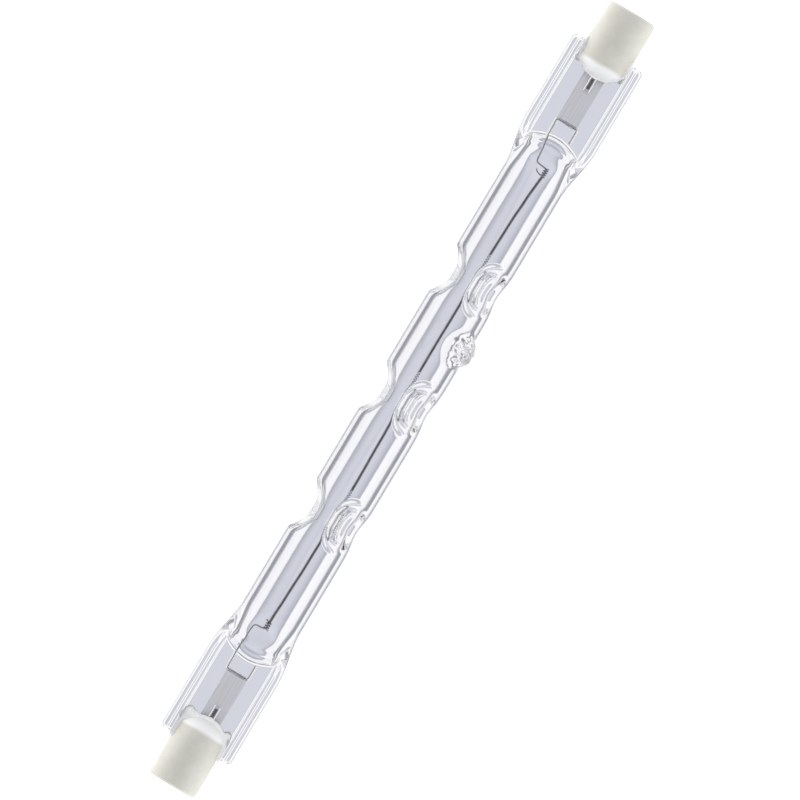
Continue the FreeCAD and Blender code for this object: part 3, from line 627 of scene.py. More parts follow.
# %% Places of the rings, and the loft
PLAIN_STEP = 0.6
SHAPED_STEP = 0.17
END_STEP = 0.14
END_START = 52.2
SHOULDER_SPAN = (32.5, 41.0)
TIP_SPAN = 3.0
DIMPLE_SPAN = DIMPLE_REACH + 1.0


def ring_step(along):
    """The distance to the next ring."""
    in_dimple = any(abs(along - place) < DIMPLE_SPAN for place in RING_PLACES)
    in_tip = abs(along - TIP_PLACE) < TIP_SPAN
    in_shoulder = SHOULDER_SPAN[0] < abs(along) < SHOULDER_SPAN[1]
    if in_dimple or in_tip or in_shoulder:
        return SHAPED_STEP
    return END_STEP if abs(along) > END_START else PLAIN_STEP


def ring_places(reach):
    """Places from -reach to reach, both ends among them."""
    places = [-reach]
    while places[-1] < reach:
        places.append(places[-1] + ring_step(places[-1]))
    last = places[-1]
    total = last + reach
    return [place * 2 * reach / total + reach * (reach - last) / total for place in places]


def loft(rings, inward=False):
    """A closed skin over rings of equal points that run from -X to +X."""
    count = len(rings[0])
    points = [point for ring in rings for point in ring]
    faces = []
    for row in range(len(rings) - 1):
        for number in range(count):
            after = (number + 1) % count
            here, there = row * count, (row + 1) * count
            faces.append((here + number, here + after, there + after, there + number))
    last = (len(rings) - 1) * count
    for number in range(count // 2):
        corners = (number, number + 1, (count - number - 1) % count, (count - number) % count)
        kept = [corner for at, corner in enumerate(corners) if corner not in corners[:at]]
        faces.append(tuple(reversed(kept)))
        faces.append(tuple(last + corner for corner in kept))
    if inward:
        faces = [tuple(reversed(face)) for face in faces]
    return points, faces


outside = loft([outside_ring(along) for along in ring_places(SEAL_FINISH)])
gas_places = [-GAS_CLOSED] + ring_places(GAS_FINISH) + [GAS_CLOSED]
gas_space = loft([gas_ring(along) for along in gas_places], inward=True)
print("outside:", len(outside[1]), "faces, inside:", len(gas_space[1]), "faces")

# %% [markdown]
# Wires are drawn with Geometry Nodes. A round section is swept along a path, made real and given its
# material. A curve's own bevel could do that, but a tree has named inputs, and the same first and last
# nodes then serve the coil, so two functions add them to both trees.

# %% The first and the last nodes of a wire tree


def wire_tree(name, more_inputs=None):
    """A tree with a wire's inputs and some more, and the outputs that bring them into it."""
    tree = bpy.data.node_groups.new(name, "GeometryNodeTree")
    tree.interface.new_socket("Wire", in_out="OUTPUT", socket_type="NodeSocketGeometry")
    kinds = {"Path": "Geometry", "Wire diameter": "Float", "Sides": "Int", "Material": "Material"}
    for label, kind in {**kinds, **(more_inputs or {})}.items():
        tree.interface.new_socket(label, in_out="INPUT", socket_type="NodeSocket" + kind)
    return tree, add_node(tree, "NodeGroupInput").outputs


def swept(tree, given, path):
    """The nodes that sweep a round section along a path and dress it. They end in the tree's output."""
    half = add_node(tree, "ShaderNodeMath", {"operation": "DIVIDE"}, {0: given["Wire diameter"], 1: 2.0})
    section = add_node(tree, "GeometryNodeCurvePrimitiveCircle", inputs={
        "Resolution": given["Sides"], "Radius": half.outputs["Value"]})
    sweep = add_node(tree, "GeometryNodeCurveToMesh", inputs={
        "Curve": path, "Profile Curve": section.outputs["Curve"], "Fill Caps": True})
    real = add_node(tree, "GeometryNodeRealizeInstances", inputs={"Geometry": sweep.outputs["Mesh"]})
    dressed = add_node(tree, "GeometryNodeSetMaterial", inputs={
        "Geometry": real.outputs["Geometry"], "Material": given["Material"]})
    return add_node(tree, "NodeGroupOutput", inputs={0: dressed.outputs["Geometry"]})


# %% [markdown]
# The first tree does only that. It draws the leads and the gaps round them in the glass.

# %% Geometry Nodes: a drawn wire
drawn_wire, given = wire_tree("drawn_wire")
swept(drawn_wire, given, given["Path"])
print("tree:", drawn_wire.name)

# %% [markdown]
# The second tree winds the path into a helix first, for the filament. It spreads points along the path,
# as many as the turns need, and gives each an angle that grows with its number. A mesh of about 350
# turns takes five numbers this way.

# %% Geometry Nodes: the points of a wound wire
wound_wire, given = wire_tree("wound_wire", {
    "Turn pitch": "Float", "Coil diameter": "Float", "Steps per turn": "Int"})
length = add_node(wound_wire, "GeometryNodeCurveLength", inputs={"Curve": given["Path"]})
turns = add_node(wound_wire, "ShaderNodeMath", {"operation": "DIVIDE"}, {
    0: length.outputs["Length"], 1: given["Turn pitch"]})
count = add_node(wound_wire, "ShaderNodeMath", {"operation": "MULTIPLY"}, {
    0: turns.outputs["Value"], 1: given["Steps per turn"]})
spread = add_node(wound_wire, "GeometryNodeResampleCurve", {"mode": "COUNT"}, {
    "Curve": given["Path"], "Count": count.outputs["Value"]})
number = add_node(wound_wire, "GeometryNodeInputIndex")
step = add_node(wound_wire, "ShaderNodeMath", {"operation": "DIVIDE"}, {
    0: math.tau, 1: given["Steps per turn"]})
angle = add_node(wound_wire, "ShaderNodeMath", {"operation": "MULTIPLY"}, {
    0: number.outputs["Index"], 1: step.outputs["Value"]})
print("inputs of the coil:", ", ".join(socket.name for socket in given if socket.name))

# %% [markdown]
# Two directions stand square to the path at each point: the curve's normal, and the cross product of its
# tangent and the normal. The cosine and the sine of the angle mix them, and the point is pushed out that
# way by the coil's radius. The wire is then swept as before.

# %% Geometry Nodes: wind and sweep the wire
normal = add_node(wound_wire, "GeometryNodeInputNormal")
tangent = add_node(wound_wire, "GeometryNodeInputTangent")
across = add_node(wound_wire, "ShaderNodeVectorMath", {"operation": "CROSS_PRODUCT"}, {
    0: tangent.outputs["Tangent"], 1: normal.outputs["Normal"]})
middle_width = add_node(wound_wire, "ShaderNodeMath", {"operation": "SUBTRACT"}, {
    0: given["Coil diameter"], 1: given["Wire diameter"]})
coil_radius = add_node(wound_wire, "ShaderNodeMath", {"operation": "DIVIDE"}, {
    0: middle_width.outputs["Value"], 1: 2.0})
cosine = add_node(wound_wire, "ShaderNodeMath", {"operation": "COSINE"}, {0: angle.outputs["Value"]})
sine = add_node(wound_wire, "ShaderNodeMath", {"operation": "SINE"}, {0: angle.outputs["Value"]})
push_one = add_node(wound_wire, "ShaderNodeVectorMath", {"operation": "SCALE"}, {
    0: normal.outputs["Normal"], "Scale": cosine.outputs["Value"]})
push_two = add_node(wound_wire, "ShaderNodeVectorMath", {"operation": "SCALE"}, {
    0: across.outputs["Vector"], "Scale": sine.outputs["Value"]})
push = add_node(wound_wire, "ShaderNodeVectorMath", {"operation": "ADD"}, {
    0: push_one.outputs["Vector"], 1: push_two.outputs["Vector"]})
offset = add_node(wound_wire, "ShaderNodeVectorMath", {"operation": "SCALE"}, {
    0: push.outputs["Vector"], "Scale": coil_radius.outputs["Value"]})
wound = add_node(wound_wire, "GeometryNodeSetPosition", inputs={
    "Geometry": spread.outputs["Curve"], "Offset": offset.outputs["Vector"]})
swept(wound_wire, given, wound.outputs["Geometry"])
print("tree:", wound_wire.name)

# %% [markdown]
# A tree runs as a modifier on a path. A modifier knows its inputs by the sockets' identifiers, and they
# are set before the path is evaluated for the first time. The result is taken as a plain mesh and the
# modifier goes, because only plain meshes are handed over. Two small functions do that here, and later
# for the caps and the cement: one adds a modifier with its settings and the other applies them all.

# %% Run a wire tree on a path


def path_object(points):
    """A curve object through points, as the path of a wire."""
    curve = bpy.data.curves.new("path", "CURVE")
    curve.dimensions = "3D"
    spline = curve.splines.new("POLY")
    spline.points.add(len(points) - 1)
    for spot, point in zip(spline.points, points):
        spot.co = (*point, 1)
    return add_object("path", curve)


def modify(piece, kind, **settings):
    """Adds a modifier with these settings."""
    modifier = piece.modifiers.new(kind.lower(), kind)
    for name, setting in settings.items():
        setattr(modifier, name, setting)
    return modifier


def applied(piece):
    """The plain mesh of an object with its modifiers applied. The object itself is removed."""
    seen = piece.evaluated_get(bpy.context.evaluated_depsgraph_get())
    mesh = bpy.data.meshes.new_from_object(seen)
    piece.modifiers.clear()
    bpy.data.objects.remove(piece)
    return mesh


def run_tree(tree, points, values):
    """The plain mesh that a wire tree makes along points."""
    path = path_object(points)
    modifier = modify(path, "NODES", node_group=tree)
    for socket in tree.interface.items_tree:
        if socket.name in values:
            modifier[socket.identifier] = values[socket.name]
    return applied(path)


def wire_mesh(points, diameter, sides, material):
    """The plain mesh of a drawn wire."""
    return run_tree(drawn_wire, points, {"Wire diameter": diameter, "Sides": sides, "Material": material})


# %% [markdown]
# A real wire can't bend sharply, so the corners of its path are rounded first. The filament and the
# glass are each made as several meshes, and a bmesh then takes them into one.

# %% Round the corners of a path, and join meshes


def bent(corners, bend, steps=8):
    """A path along straight runs. Each corner is rounded, starting at the length bend before it."""
    points = [corners[0]]
    for before, corner, after in zip(corners, corners[1:], corners[2:]):
        reach = min(bend, (corner - before).length / 2, (after - corner).length / 2)
        start = corner + (before - corner).normalized() * reach
        finish = corner + (after - corner).normalized() * reach
        for number in range(steps + 1):
            share = number / steps
            points.append(start.lerp(corner, share).lerp(corner.lerp(finish, share), share))
    points.append(corners[-1])
    return points


def mesh_from(shape, name):
    """A mesh made of a bmesh, which is then freed."""
    mesh = bpy.data.meshes.new(name)
    shape.to_mesh(mesh)
    shape.free()
    return mesh


def joined(*meshes):
    """One mesh from several."""
    whole = bmesh.new()
    for mesh in meshes:
        whole.from_mesh(mesh)
    return mesh_from(whole, "joined")


# %% [markdown]
# The filament hangs between the two leads and is kept off the wall by the dimples. Its middle line is
# given as a few supports, and it eases from one to the next, so it wanders a little as hot tungsten
# does. It is wound tight except at the dimples, where the turns are stretched so that they glow less.
# The real turns are finer than the render can show, so these are as coarse as they need to be.

# %% Filament
WIRE_PLANE = -0.195
COIL_DIAMETER = 0.44
FILAMENT_WIRE = 0.1
TIGHT_PITCH = 0.16
OPEN_DIAMETER = 0.5
OPEN_PITCH = 0.36
STRETCHED = (-1.9, 4.6)
COIL_STEPS = 14
COIL_SIDES = 6
PATH_SPACING = 1.5
SUPPORTS = (
    (-34.0, -0.115), (-30.0, -0.26), (-25.5, -0.40), (-18.2, -0.50), (-12.8, -0.50), (-6.0, -0.38),
    (-0.3, -0.22), (4.3, -0.15), (8.0, -0.14), (12.8, -0.17), (17.6, -0.19), (22.0, -0.22),
    (27.0, -0.33), (31.0, -0.55), (34.3, -0.80))


def filament_spot(along):
    """The filament's middle line at a place along the lamp."""
    for (before, low), (after, high) in zip(SUPPORTS, SUPPORTS[1:]):
        if before <= along <= after:
            return Vector((along, low + (high - low) * ease(before, after, along), WIRE_PLANE))
    return Vector((along, SUPPORTS[0][1] if along < 0 else SUPPORTS[-1][1], WIRE_PLANE))


def coil_run(start, finish, pitch, coil, wire):
    """One stretch of the filament, wound at its own pitch."""
    count = max(int((finish - start) / PATH_SPACING), 1)
    line = [filament_spot(start + (finish - start) * number / count) for number in range(count + 1)]
    return run_tree(wound_wire, line, {
        "Turn pitch": pitch, "Coil diameter": coil, "Wire diameter": wire, "Steps per turn": COIL_STEPS,
        "Sides": COIL_SIDES, "Material": tungsten_coil})


filament_runs = []
reached = SUPPORTS[0][0]
for place in RING_PLACES:
    filament_runs.append(coil_run(reached, place + STRETCHED[0], TIGHT_PITCH, COIL_DIAMETER, FILAMENT_WIRE))
    filament_runs.append(coil_run(
        place + STRETCHED[0], place + STRETCHED[1], OPEN_PITCH, OPEN_DIAMETER, FILAMENT_WIRE))
    reached = place + STRETCHED[1]
filament_runs.append(coil_run(reached, SUPPORTS[-1][0], TIGHT_PITCH, COIL_DIAMETER, FILAMENT_WIRE))
print("stretches of the filament:", len(filament_runs))

# %% [markdown]
# At each end a few turns of thicker wire clamp the filament to its lead, and the cut end of that wire
# stands off in front. The turns come from the same tree with other sizes, and the cut ends are short
# drawn wires. All of it is the same metal and moves together, so it is one piece.

# %% Clamps of the filament
CLAMP_DIAMETER = 0.74
CLAMP_PITCH = 0.3
CLAMP_WIRE = 0.14
CLAMP_SPANS = ((-34.85, -33.9), (34.2, 35.4))
CUT_ENDS = (
    ((-33.95, -0.3), (-33.75, 0.25), (-33.7, 0.42)),
    ((34.25, -0.5), (34.45, 0.1), (34.75, 0.3)))
CUT_END_LIFT = 0.2
CUT_END_SIDES = 10

clamps = [coil_run(start, finish, CLAMP_PITCH, CLAMP_DIAMETER, CLAMP_WIRE) for start, finish in CLAMP_SPANS]
for corners in CUT_ENDS:
    cut_end = [Vector((*corner, WIRE_PLANE + CUT_END_LIFT)) for corner in corners]
    clamps.append(wire_mesh(cut_end, CLAMP_WIRE, CUT_END_SIDES, tungsten_coil))
filament = joined(*filament_runs, *clamps)
hand_over("filament_coil", filament, tungsten_coil, "filament")

# %% [markdown]
# Each inner lead is one bent wire. It starts as a hook that lies on the foil, runs out of the glass into
# the gas space, turns at an elbow and ends inside the filament's clamp turns. Its corners are written as
# a short list, because the real one is bent by hand and no two are the same.

# %% Inner leads
LEAD_DIAMETER = 0.2
LEAD_BEND = 0.38
INNER_LEAD_SIDES = 14
LEAD_CORNERS = {
    "a": ((-39.75, -1.47), (-41.9, -1.5), (-41.9, 1.62), (-39.2, 1.68), (-36.3, 1.58), (-34.95, 1.42),
          (-34.85, -0.10), (-33.9, -0.12)),
    "b": ((39.75, -1.62), (41.9, -1.62), (41.9, 1.45), (38.8, 1.22), (35.5, 0.75), (35.3, -0.86),
          (34.2, -0.79)),
}
lead_paths = {}
for end, corners in LEAD_CORNERS.items():
    lead_paths[end] = bent([Vector((*corner, WIRE_PLANE)) for corner in corners], LEAD_BEND)
    wire = wire_mesh(lead_paths[end], LEAD_DIAMETER, INNER_LEAD_SIDES, tungsten_lead)
    hand_over(f"inner_lead_wire_{end}", wire, tungsten_lead, f"inner_lead_{end}")

# %% [markdown]
# The outer leads are straight and thick. Each starts in the glass on the foil, leaves the seal inside
# the cap and ends at the contact button, so most of it can't be seen. It is still whole, because the
# piece has to be right from every side. The same tree draws it, with more sides for its thickness. A
# loop makes both, a at -X and b at +X, as it does for every pair of pieces after this.

# %% Outer leads
OUTER_LEAD_DIAMETER = 0.65
OUTER_LEAD_SIDES = 24
OUTER_LEAD_START = 47.2
OUTER_LEAD_FINISH = 56.5
ENDS = (("a", -1), ("b", 1))

for end, side in ENDS:
    line = [Vector((side * far, 0, 0)) for far in (OUTER_LEAD_START, OUTER_LEAD_FINISH)]
    wire = wire_mesh(line, OUTER_LEAD_DIAMETER, OUTER_LEAD_SIDES, molybdenum_wire)
    hand_over(f"outer_lead_wire_{end}", wire, molybdenum_wire, f"outer_lead_{end}")

# %% [markdown]
# The foil is a lens in section: 0.05 mm thick along its middle and etched to knife edges. A plane with a
# Solidify modifier would have blunt edges, so it is a grid with a top and a bottom whose distance falls
# to almost nothing at the sides. A slow noise stands in for the wrinkles that the jaws leave, and each
# end reads it at a place of its own.

# %% Foils
FOIL_MIDDLE = -0.33
FOIL_HALF_WIDTH = 1.5
FOIL_START = 41.7
FOIL_FINISH = 50.6
FOIL_ROWS = 60
FOIL_COLUMNS = 22
FOIL_EDGE = 0.003
FOIL_CROWN = 0.022
WRINKLE = 0.012
WRINKLES_ALONG = 0.9
WRINKLES_ACROSS = 1.4
WRINKLES_APART = 4.0


def foil_mesh(side):
    """The foil of one end: two sheets that meet in sharp edges."""
    rows, columns = FOIL_ROWS, FOIL_COLUMNS
    points = []
    for face in (1, -1):
        for row in range(rows + 1):
            along = FOIL_START + (FOIL_FINISH - FOIL_START) * row / rows
            for column in range(columns + 1):
                out = 2 * column / columns - 1
                spot = Vector((along * WRINKLES_ALONG, out * WRINKLES_ACROSS, WRINKLES_APART * side))
                ripple = WRINKLE * noise.noise(spot)
                thick = FOIL_EDGE + FOIL_CROWN * (1 - out * out)
                height = FOIL_MIDDLE + ripple + face * thick
                points.append(Vector((side * along, out * FOIL_HALF_WIDTH, height)))
    width = columns + 1
    sheet = (rows + 1) * width
    faces = []
    for row in range(rows):
        for column in range(columns):
            at = row * width + column
            top = (at, at + width, at + width + 1, at + 1)
            faces.append(top)
            faces.append(tuple(sheet + corner for corner in reversed(top)))
    rim = list(range(width))
    rim += [row * width + columns for row in range(1, rows + 1)]
    rim += [rows * width + column for column in range(columns - 1, -1, -1)]
    rim += [row * width for row in range(rows - 1, 0, -1)]
    for here, there in zip(rim, rim[1:] + rim[:1]):
        faces.append((here, there, sheet + there, sheet + here))
    sheets = bpy.data.meshes.new("sheets")
    sheets.from_pydata(points, [], faces)
    shape = bmesh.new()
    shape.from_mesh(sheets)
    bmesh.ops.recalc_face_normals(shape, faces=shape.faces)
    return mesh_from(shape, "foil")


for end, side in ENDS:
    hand_over(f"foil_sheet_{end}", foil_mesh(side), molybdenum_foil, f"foil_{end}")

# %% [markdown]
# Quartz shrinks away from a thick wire as it cools, so each lead lies in a fine gap inside the seal. The
# gap's wall mirrors the light and draws a pale line on both sides of the wire. A boolean could cut the
# gap, but it would leave long thin faces in the glass. So it is a tube of its own round each lead,
# turned inside out, and joins the skins of the glass in one mesh.

# %% Quartz envelope
GAP = 0.3
GAP_SIDES = 16
GAP_MOUTH = 39.3
OUTER_GAP = 0.36
OUTER_GAP_MOUTH = SEAL_FINISH - 0.3


def gap_mesh(points, diameter, sides):
    """The wall of the gap round a wire."""
    wall = wire_mesh(points, diameter, sides, quartz_glass)
    wall.flip_normals()
    return wall


skins = []
for points, faces in (outside, gas_space):
    skin = bpy.data.meshes.new("skin")
    skin.from_pydata(points, [], faces)
    skins.append(skin)
for end, side in ENDS:
    entry = [point for point in lead_paths[end] if side * point.x > GAP_MOUTH]
    mouth = Vector((side * GAP_MOUTH, entry[-1].y, WIRE_PLANE))
    skins.append(gap_mesh(entry + [mouth], LEAD_DIAMETER + GAP, GAP_SIDES))
    stub = [Vector((side * far, 0, 0)) for far in (OUTER_LEAD_START - OUTER_GAP, OUTER_GAP_MOUTH)]
    skins.append(gap_mesh(stub, OUTER_LEAD_DIAMETER + OUTER_GAP, OUTER_LEAD_SIDES))
glass = joined(*skins)
hand_over("quartz_tube", glass, quartz_glass, "quartz_envelope")

# %% [markdown]
# A cap is pressed round, slotted and drilled, and the firing softens its edges. Its half outline, with
# the nose, the recess and the bore, is spun round X, which is simpler than joining cylinders and leaves
# no seam. The helper that spins it also makes the contacts. Both are made for end b and turned for a.

# %% Spin an outline
SPIN_STEPS = 128
SAME_PLACE = 0.0005


def spun(outline, steps=SPIN_STEPS):
    """A closed solid made by turning an outline of (along, out) round X."""
    shape = bmesh.new()
    spots = [shape.verts.new((along, out, 0)) for along, out in outline]
    edges = [shape.edges.new(pair) for pair in zip(spots, spots[1:] + spots[:1])]
    bmesh.ops.spin(
        shape, geom=spots + edges, cent=(0, 0, 0), axis=(1, 0, 0), angle=math.tau, steps=steps,
        use_merge=True)
    bmesh.ops.remove_doubles(shape, verts=shape.verts, dist=SAME_PLACE)
    bmesh.ops.recalc_face_normals(shape, faces=shape.faces)
    return mesh_from(shape, "spun")


def turned_to(side, mesh):
    """The mesh for the end on this side."""
    if side < 0:
        mesh.transform(Matrix.Rotation(math.pi, 4, "Z"))
    return mesh


# %% Outline of a cap
CAP_RADIUS = 3.5
CAP_FACE = 58.8
CAP_START = 48.8
NOSE_LENGTH = 2.0
NOSE_RIM = 3.42
NOSE_RADIUS = (NOSE_RIM ** 2 + NOSE_LENGTH ** 2) / (2 * NOSE_LENGTH)
LEAD_BORE = 0.475
RECESS_RADIUS = 1.75
CONTACT_FACE = 57.1
CONTACT_SEAT = 56.5
SEAT_RADIUS = 1.55
SLOT_FLOOR = 53.15
RIM_BEVEL = 0.3
NOSE_PARTS = 14


def nose_outline():
    """Points of the domed nose from the lead's bore to the barrel."""
    middle = CAP_START + NOSE_RADIUS
    first = math.asin(LEAD_BORE / NOSE_RADIUS)
    last = math.asin(NOSE_RIM / NOSE_RADIUS)
    turns = [first + (last - first) * number / NOSE_PARTS for number in range(NOSE_PARTS + 1)]
    return [(middle - NOSE_RADIUS * math.cos(turn), NOSE_RADIUS * math.sin(turn)) for turn in turns]


cap_outline = nose_outline() + [
    (SLOT_FLOOR, CAP_RADIUS), (CAP_FACE - RIM_BEVEL, CAP_RADIUS), (CAP_FACE, CAP_RADIUS - RIM_BEVEL),
    (CAP_FACE, RECESS_RADIUS), (CONTACT_FACE, RECESS_RADIUS), (CONTACT_FACE, SEAT_RADIUS),
    (CONTACT_SEAT, SEAT_RADIUS), (CONTACT_SEAT, LEAD_BORE)]
print("points in the cap's outline:", len(cap_outline))

# %% [markdown]
# The slot takes the flat seal, so it goes right across the cap and ends in the middle of the barrel. A
# boolean with a box takes it out, and a narrow bevel then rounds every edge at once, also the new ones.
# A bevel made before the slot would leave the slot's edges sharp, so the order of the two matters.

# %% Ceramic caps
SLOT_HALF = 1.4
SLOT_SIDE = 5
SLOT_RUN_IN = 2
SOFT_EDGE = 0.12
SOFT_ANGLE = math.radians(30)


def box_object(name, low, high):
    """A box as an object, for use as a cutter."""
    shape = bmesh.new()
    bmesh.ops.create_cube(shape, size=1)
    size = Vector(high) - Vector(low)
    middle = (Vector(high) + Vector(low)) / 2
    placed = Matrix.Translation(middle) @ Matrix.Diagonal((*size, 1))
    bmesh.ops.transform(shape, verts=shape.verts, matrix=placed)
    return add_object(name, mesh_from(shape, name))


def cap_mesh():
    """A cap, slotted and with its edges softened."""
    cap = add_object("cap", spun(cap_outline))
    cutter = box_object(
        "slot", (CAP_START - SLOT_RUN_IN, -SLOT_SIDE, -SLOT_HALF), (SLOT_FLOOR, SLOT_SIDE, SLOT_HALF))
    modify(cap, "BOOLEAN", operation="DIFFERENCE", solver="EXACT", object=cutter)
    modify(cap, "BEVEL", width=SOFT_EDGE, segments=3, limit_method="ANGLE", angle_limit=SOFT_ANGLE)
    mesh = applied(cap)
    bpy.data.objects.remove(cutter)
    return mesh


for end, side in ENDS:
    hand_over(f"cap_{end}", turned_to(side, cap_mesh()), steatite, f"ceramic_cap_{end}")

# %% [markdown]
# A contact is a button with a rounded rim and a slight boss in the middle of its face, where the pin of
# the lampholder presses. It is a turned shape as well, and its front is written as depths below the
# face and distances from the axis. Its outline begins and ends on the axis, and the helper merges the
# points there, so no hole is left.

# %% Contacts
CONTACT_RADIUS = 1.5
CONTACT_STEPS = 64
CONTACT_FRONT = ((0.12, 1.5), (0.04, 1.46), (0.01, 1.36), (0.02, 1.0), (0.0, 0.55), (0.0, 0.0))

contact_outline = [(CONTACT_SEAT, 0.0), (CONTACT_SEAT, CONTACT_RADIUS)]
contact_outline += [(CONTACT_FACE - depth, out) for depth, out in CONTACT_FRONT]
for end, side in ENDS:
    button = turned_to(side, spun(contact_outline, CONTACT_STEPS))
    hand_over(f"contact_button_{end}", button, nickel, f"contact_{end}")

# %% [markdown]
# The cement fills the slot round the seal and squeezes out past the cap's nose. The CAD solid gives its
# body, and a few balls stand for the lobes of paste, given as along, y, z and size. A voxel remesh melts
# them into one skin as wet paste flows together, where a boolean union would keep a hard seam. A noise
# then moves the skin in and out, so that the outline is rough as well.

# %% Cement
LOBES = {
    "a": ((-49.2, 2.9, 0.8, 0.85), (-49.5, 3.2, -0.6, 0.8), (-49.6, -3.0, 0.7, 0.7), (-49.9, 3.3, 0.5, 0.8),
          (-50.4, -3.4, 0.2, 0.6), (-49.3, 2.1, 1.0, 0.7)),
    "b": ((50.2, 3.2, 0.7, 0.5), (50.3, -3.2, -0.5, 0.5), (50.9, 3.2, 0.0, 0.45), (50.8, -3.2, 0.6, 0.45)),
}
PASTE_VOXEL = 0.13
PASTE_SOFTENING = 3
CRUMB_SCALE = 1.6
CRUMB_FADE = 0.9
CRUMB_LAYERS = 4
CRUMB_HEIGHT = 0.07
PASTE_SHRINK = 0.03


def cement_mesh(end):
    """The cement of one end as one rough skin."""
    body = bmesh.new()
    body.from_mesh(nodes[f"cement_{end}"].data)
    bmesh.ops.transform(body, verts=body.verts, matrix=lay_down.inverted())
    bmesh.ops.remove_doubles(body, verts=body.verts, dist=0.001)
    for along, y, z, size in LOBES[end]:
        bmesh.ops.create_icosphere(
            body, subdivisions=3, radius=size, matrix=Matrix.Translation((along, y, z)))
    paste = add_object("cement", mesh_from(body, "cement"))
    modify(paste, "REMESH", mode="VOXEL", voxel_size=PASTE_VOXEL)
    modify(paste, "SMOOTH", iterations=PASTE_SOFTENING)
    whole = applied(paste)
    whole.update()
    normals = [vertex.normal.copy() for vertex in whole.vertices]
    for vertex, out in zip(whole.vertices, normals):
        rough = noise.fractal(vertex.co * CRUMB_SCALE, CRUMB_FADE, FINER, CRUMB_LAYERS)
        vertex.co += out * (CRUMB_HEIGHT * rough - PASTE_SHRINK)
    return whole


for end in ("a", "b"):
    hand_over(f"cement_bead_{end}", cement_mesh(end), lamp_cement, f"cement_{end}")

# %% [markdown]
# The lamp lies on a light table, a sheet of opal acrylic with lamps below. It glows white and still
# takes a soft shadow, because an emission and a diffuse surface are added. Its glow lights the lamp from
# below. Rays that have gone through the glass miss the table and see the studio behind it, which can
# then have the dark bands that a white table couldn't give.

# %% Light table
TABLE_GLOW = 0.78
TABLE_HALF = 3

table_mesh = bpy.data.meshes.new("light_table")
table_corners = [(x * TABLE_HALF, y * TABLE_HALF, 0) for x, y in ((-1, -1), (1, -1), (1, 1), (-1, 1))]
table_mesh.from_pydata(table_corners, [], [(0, 1, 2, 3)])
table = add_object("light_table", table_mesh)
table.visible_transmission = False
opal, tree, output = new_material("opal_acrylic_lit")
glow = add_node(tree, "ShaderNodeEmission", inputs={"Color": (1, 1, 1, 1), "Strength": TABLE_GLOW})
matt = add_node(tree, "ShaderNodeBsdfDiffuse", inputs={"Color": colour("#e8e8e8")})
lit = add_node(tree, "ShaderNodeAddShader", inputs={0: glow.outputs["Emission"], 1: matt.outputs["BSDF"]})
tree.links.new(lit.outputs["Shader"], output.inputs["Surface"])
table_mesh.materials.append(opal)
print("table glows at", TABLE_GLOW)

# %% [markdown]
# What glass shows is what stands round it. A ray that goes through the middle of the tube hardly bends
# and meets a pale lavender card behind the lamp. Nearer the wall it bends more and meets the card's
# darker rim, then white paper, and at the very edge a grey wall. Those tones, by their angle from the
# card's middle, draw the bands that make a glass tube look round.
# The same angle grades the light that falls on matt pieces: strong from behind and from the sides, weak
# from the camera. So the middle of a round cap is darker than its sides. The camera itself sees white.

# %% Studio round the lamp
STUDIO_TONES = (
    (0.0, "#d8dae3"), (3.4, "#cdcfd9"), (5.0, "#b8bac4"), (6.4, "#a2a4af"), (7.2, "#ffffff"),
    (37.0, "#ffffff"), (43.0, "#8f919a"), (60.0, "#8a8c94"), (70.0, "#ffffff"), (110.0, "#ffffff"),
    (180.0, "#e8e8ec"))
SIDE_LIGHT = {"From Min": 0.48, "From Max": 0.63, "To Min": 2.1, "To Max": 0.5}

world = bpy.data.worlds.new("studio")
bpy.context.scene.world = world
world.use_nodes = True
tree = world.node_tree
tree.nodes.clear()
behind = roll @ Vector((0, 0, -1))
look = add_node(tree, "ShaderNodeTexCoord").outputs["Generated"]
facing = add_node(tree, "ShaderNodeVectorMath", {"operation": "DOT_PRODUCT"}, {0: look, 1: behind})
spread_angle = add_node(tree, "ShaderNodeMath", {"operation": "ARCCOSINE"}, {0: facing.outputs["Value"]})
share = add_node(tree, "ShaderNodeMath", {"operation": "DIVIDE"}, {
    0: spread_angle.outputs["Value"], 1: math.pi})
studio = add_node(tree, "ShaderNodeValToRGB", inputs={"Fac": share.outputs["Value"]})
ramp = studio.color_ramp
while len(ramp.elements) < len(STUDIO_TONES):
    ramp.elements.new(0.5)
for element, (degrees, code) in zip(ramp.elements, STUDIO_TONES):
    element.position = degrees / 180
    element.color = colour(code)
rays = add_node(tree, "ShaderNodeLightPath").outputs
through = add_node(tree, "ShaderNodeMath", {"operation": "MAXIMUM"}, {
    0: rays["Is Transmission Ray"], 1: rays["Is Glossy Ray"]})
seen_studio = add_node(tree, "ShaderNodeBackground", inputs={
    "Color": studio.outputs["Color"], "Strength": 1.0})
side_light = add_node(tree, "ShaderNodeMapRange", {"interpolation_type": "SMOOTHSTEP"}, {
    "Value": share.outputs["Value"], **SIDE_LIGHT})
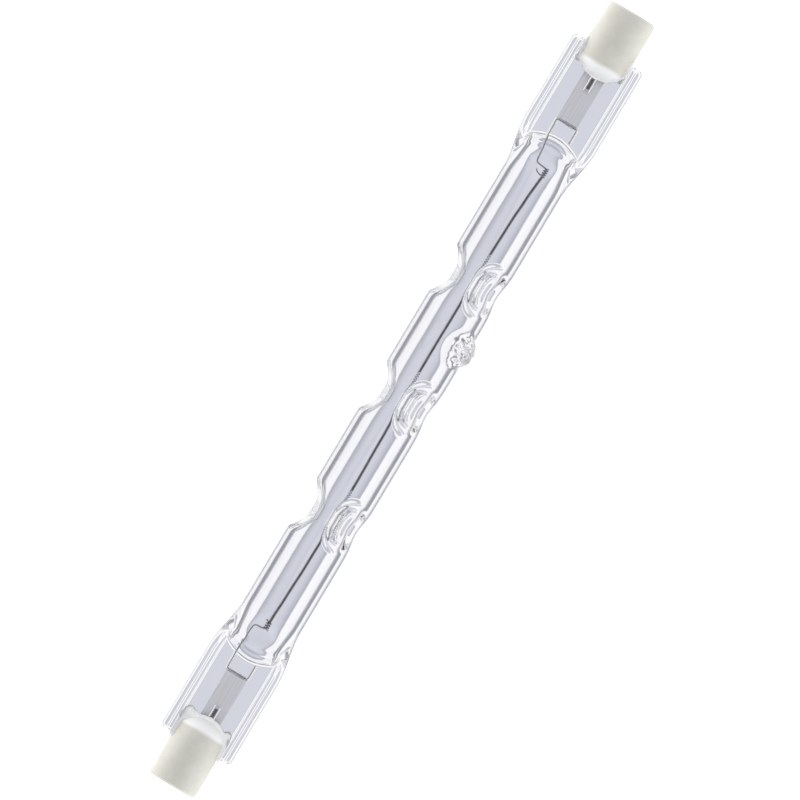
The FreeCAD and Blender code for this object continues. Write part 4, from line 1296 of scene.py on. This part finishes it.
soft_fill = add_node(tree, "ShaderNodeBackground", inputs={
    "Color": colour("#f7f8ff"), "Strength": side_light.outputs["Result"]})
white_paper = add_node(tree, "ShaderNodeBackground", inputs={"Color": (1, 1, 1, 1), "Strength": 1.0})
lighting = add_node(tree, "ShaderNodeMixShader", inputs={
    0: through.outputs["Value"], 1: soft_fill.outputs["Background"], 2: seen_studio.outputs["Background"]})
seen = add_node(tree, "ShaderNodeMixShader", inputs={
    0: rays["Is Camera Ray"], 1: lighting.outputs["Shader"], 2: white_paper.outputs["Background"]})
add_node(tree, "ShaderNodeOutputWorld", inputs={"Surface": seen.outputs["Shader"]})
print("straight behind the lamp:", [round(v, 2) for v in behind])

# %% [markdown]
# Light that is caught in a glass wall turns many times before it gets out. With Blender's usual four
# mirror bounces such rays end black and leave dark spots at the dimples' rims. The scene allows forty,
# which is more than any ray here needs and costs little time.

# %% Bounces of light
MIRROR_BOUNCES = 40
paths = bpy.context.scene.cycles
paths.max_bounces = MIRROR_BOUNCES
paths.glossy_bounces = MIRROR_BOUNCES
paths.transmission_bounces = MIRROR_BOUNCES
print("light may turn", MIRROR_BOUNCES, "times")

# %% [markdown]
# Two softboxes give the matt pieces their form: a warm one behind the lamp and a weaker, cooler one in
# front. Both are hidden from mirrored and refracted rays, because their hard rectangles would show in
# the glass. Their light only adds to that of the studio, which is why they are weak.

# %% Softboxes


def softbox(name, direction, away, width, height, power, tint):
    """A rectangular lamp that faces the middle of the object. Its sizes are in metres."""
    data = bpy.data.lights.new(name, "AREA")
    data.shape = "RECTANGLE"
    data.size = width
    data.size_y = height
    data.energy = power
    data.color = colour(tint)[:3]
    box = add_object(name, data)
    aim = Vector(direction).normalized()
    box.matrix_world = Matrix.Translation(aim * away) @ aim.to_track_quat("Z", "X").to_matrix().to_4x4()
    box.visible_glossy = False
    box.visible_transmission = False
    return box


softbox("softbox_behind", (0.1, 0.80, 0.60), 0.7, 0.7, 0.4, 2.5, "#fffdf8")
softbox("softbox_front", (-0.2, -0.9, 0.35), 0.8, 0.6, 0.3, 1.5, "#f8faff")
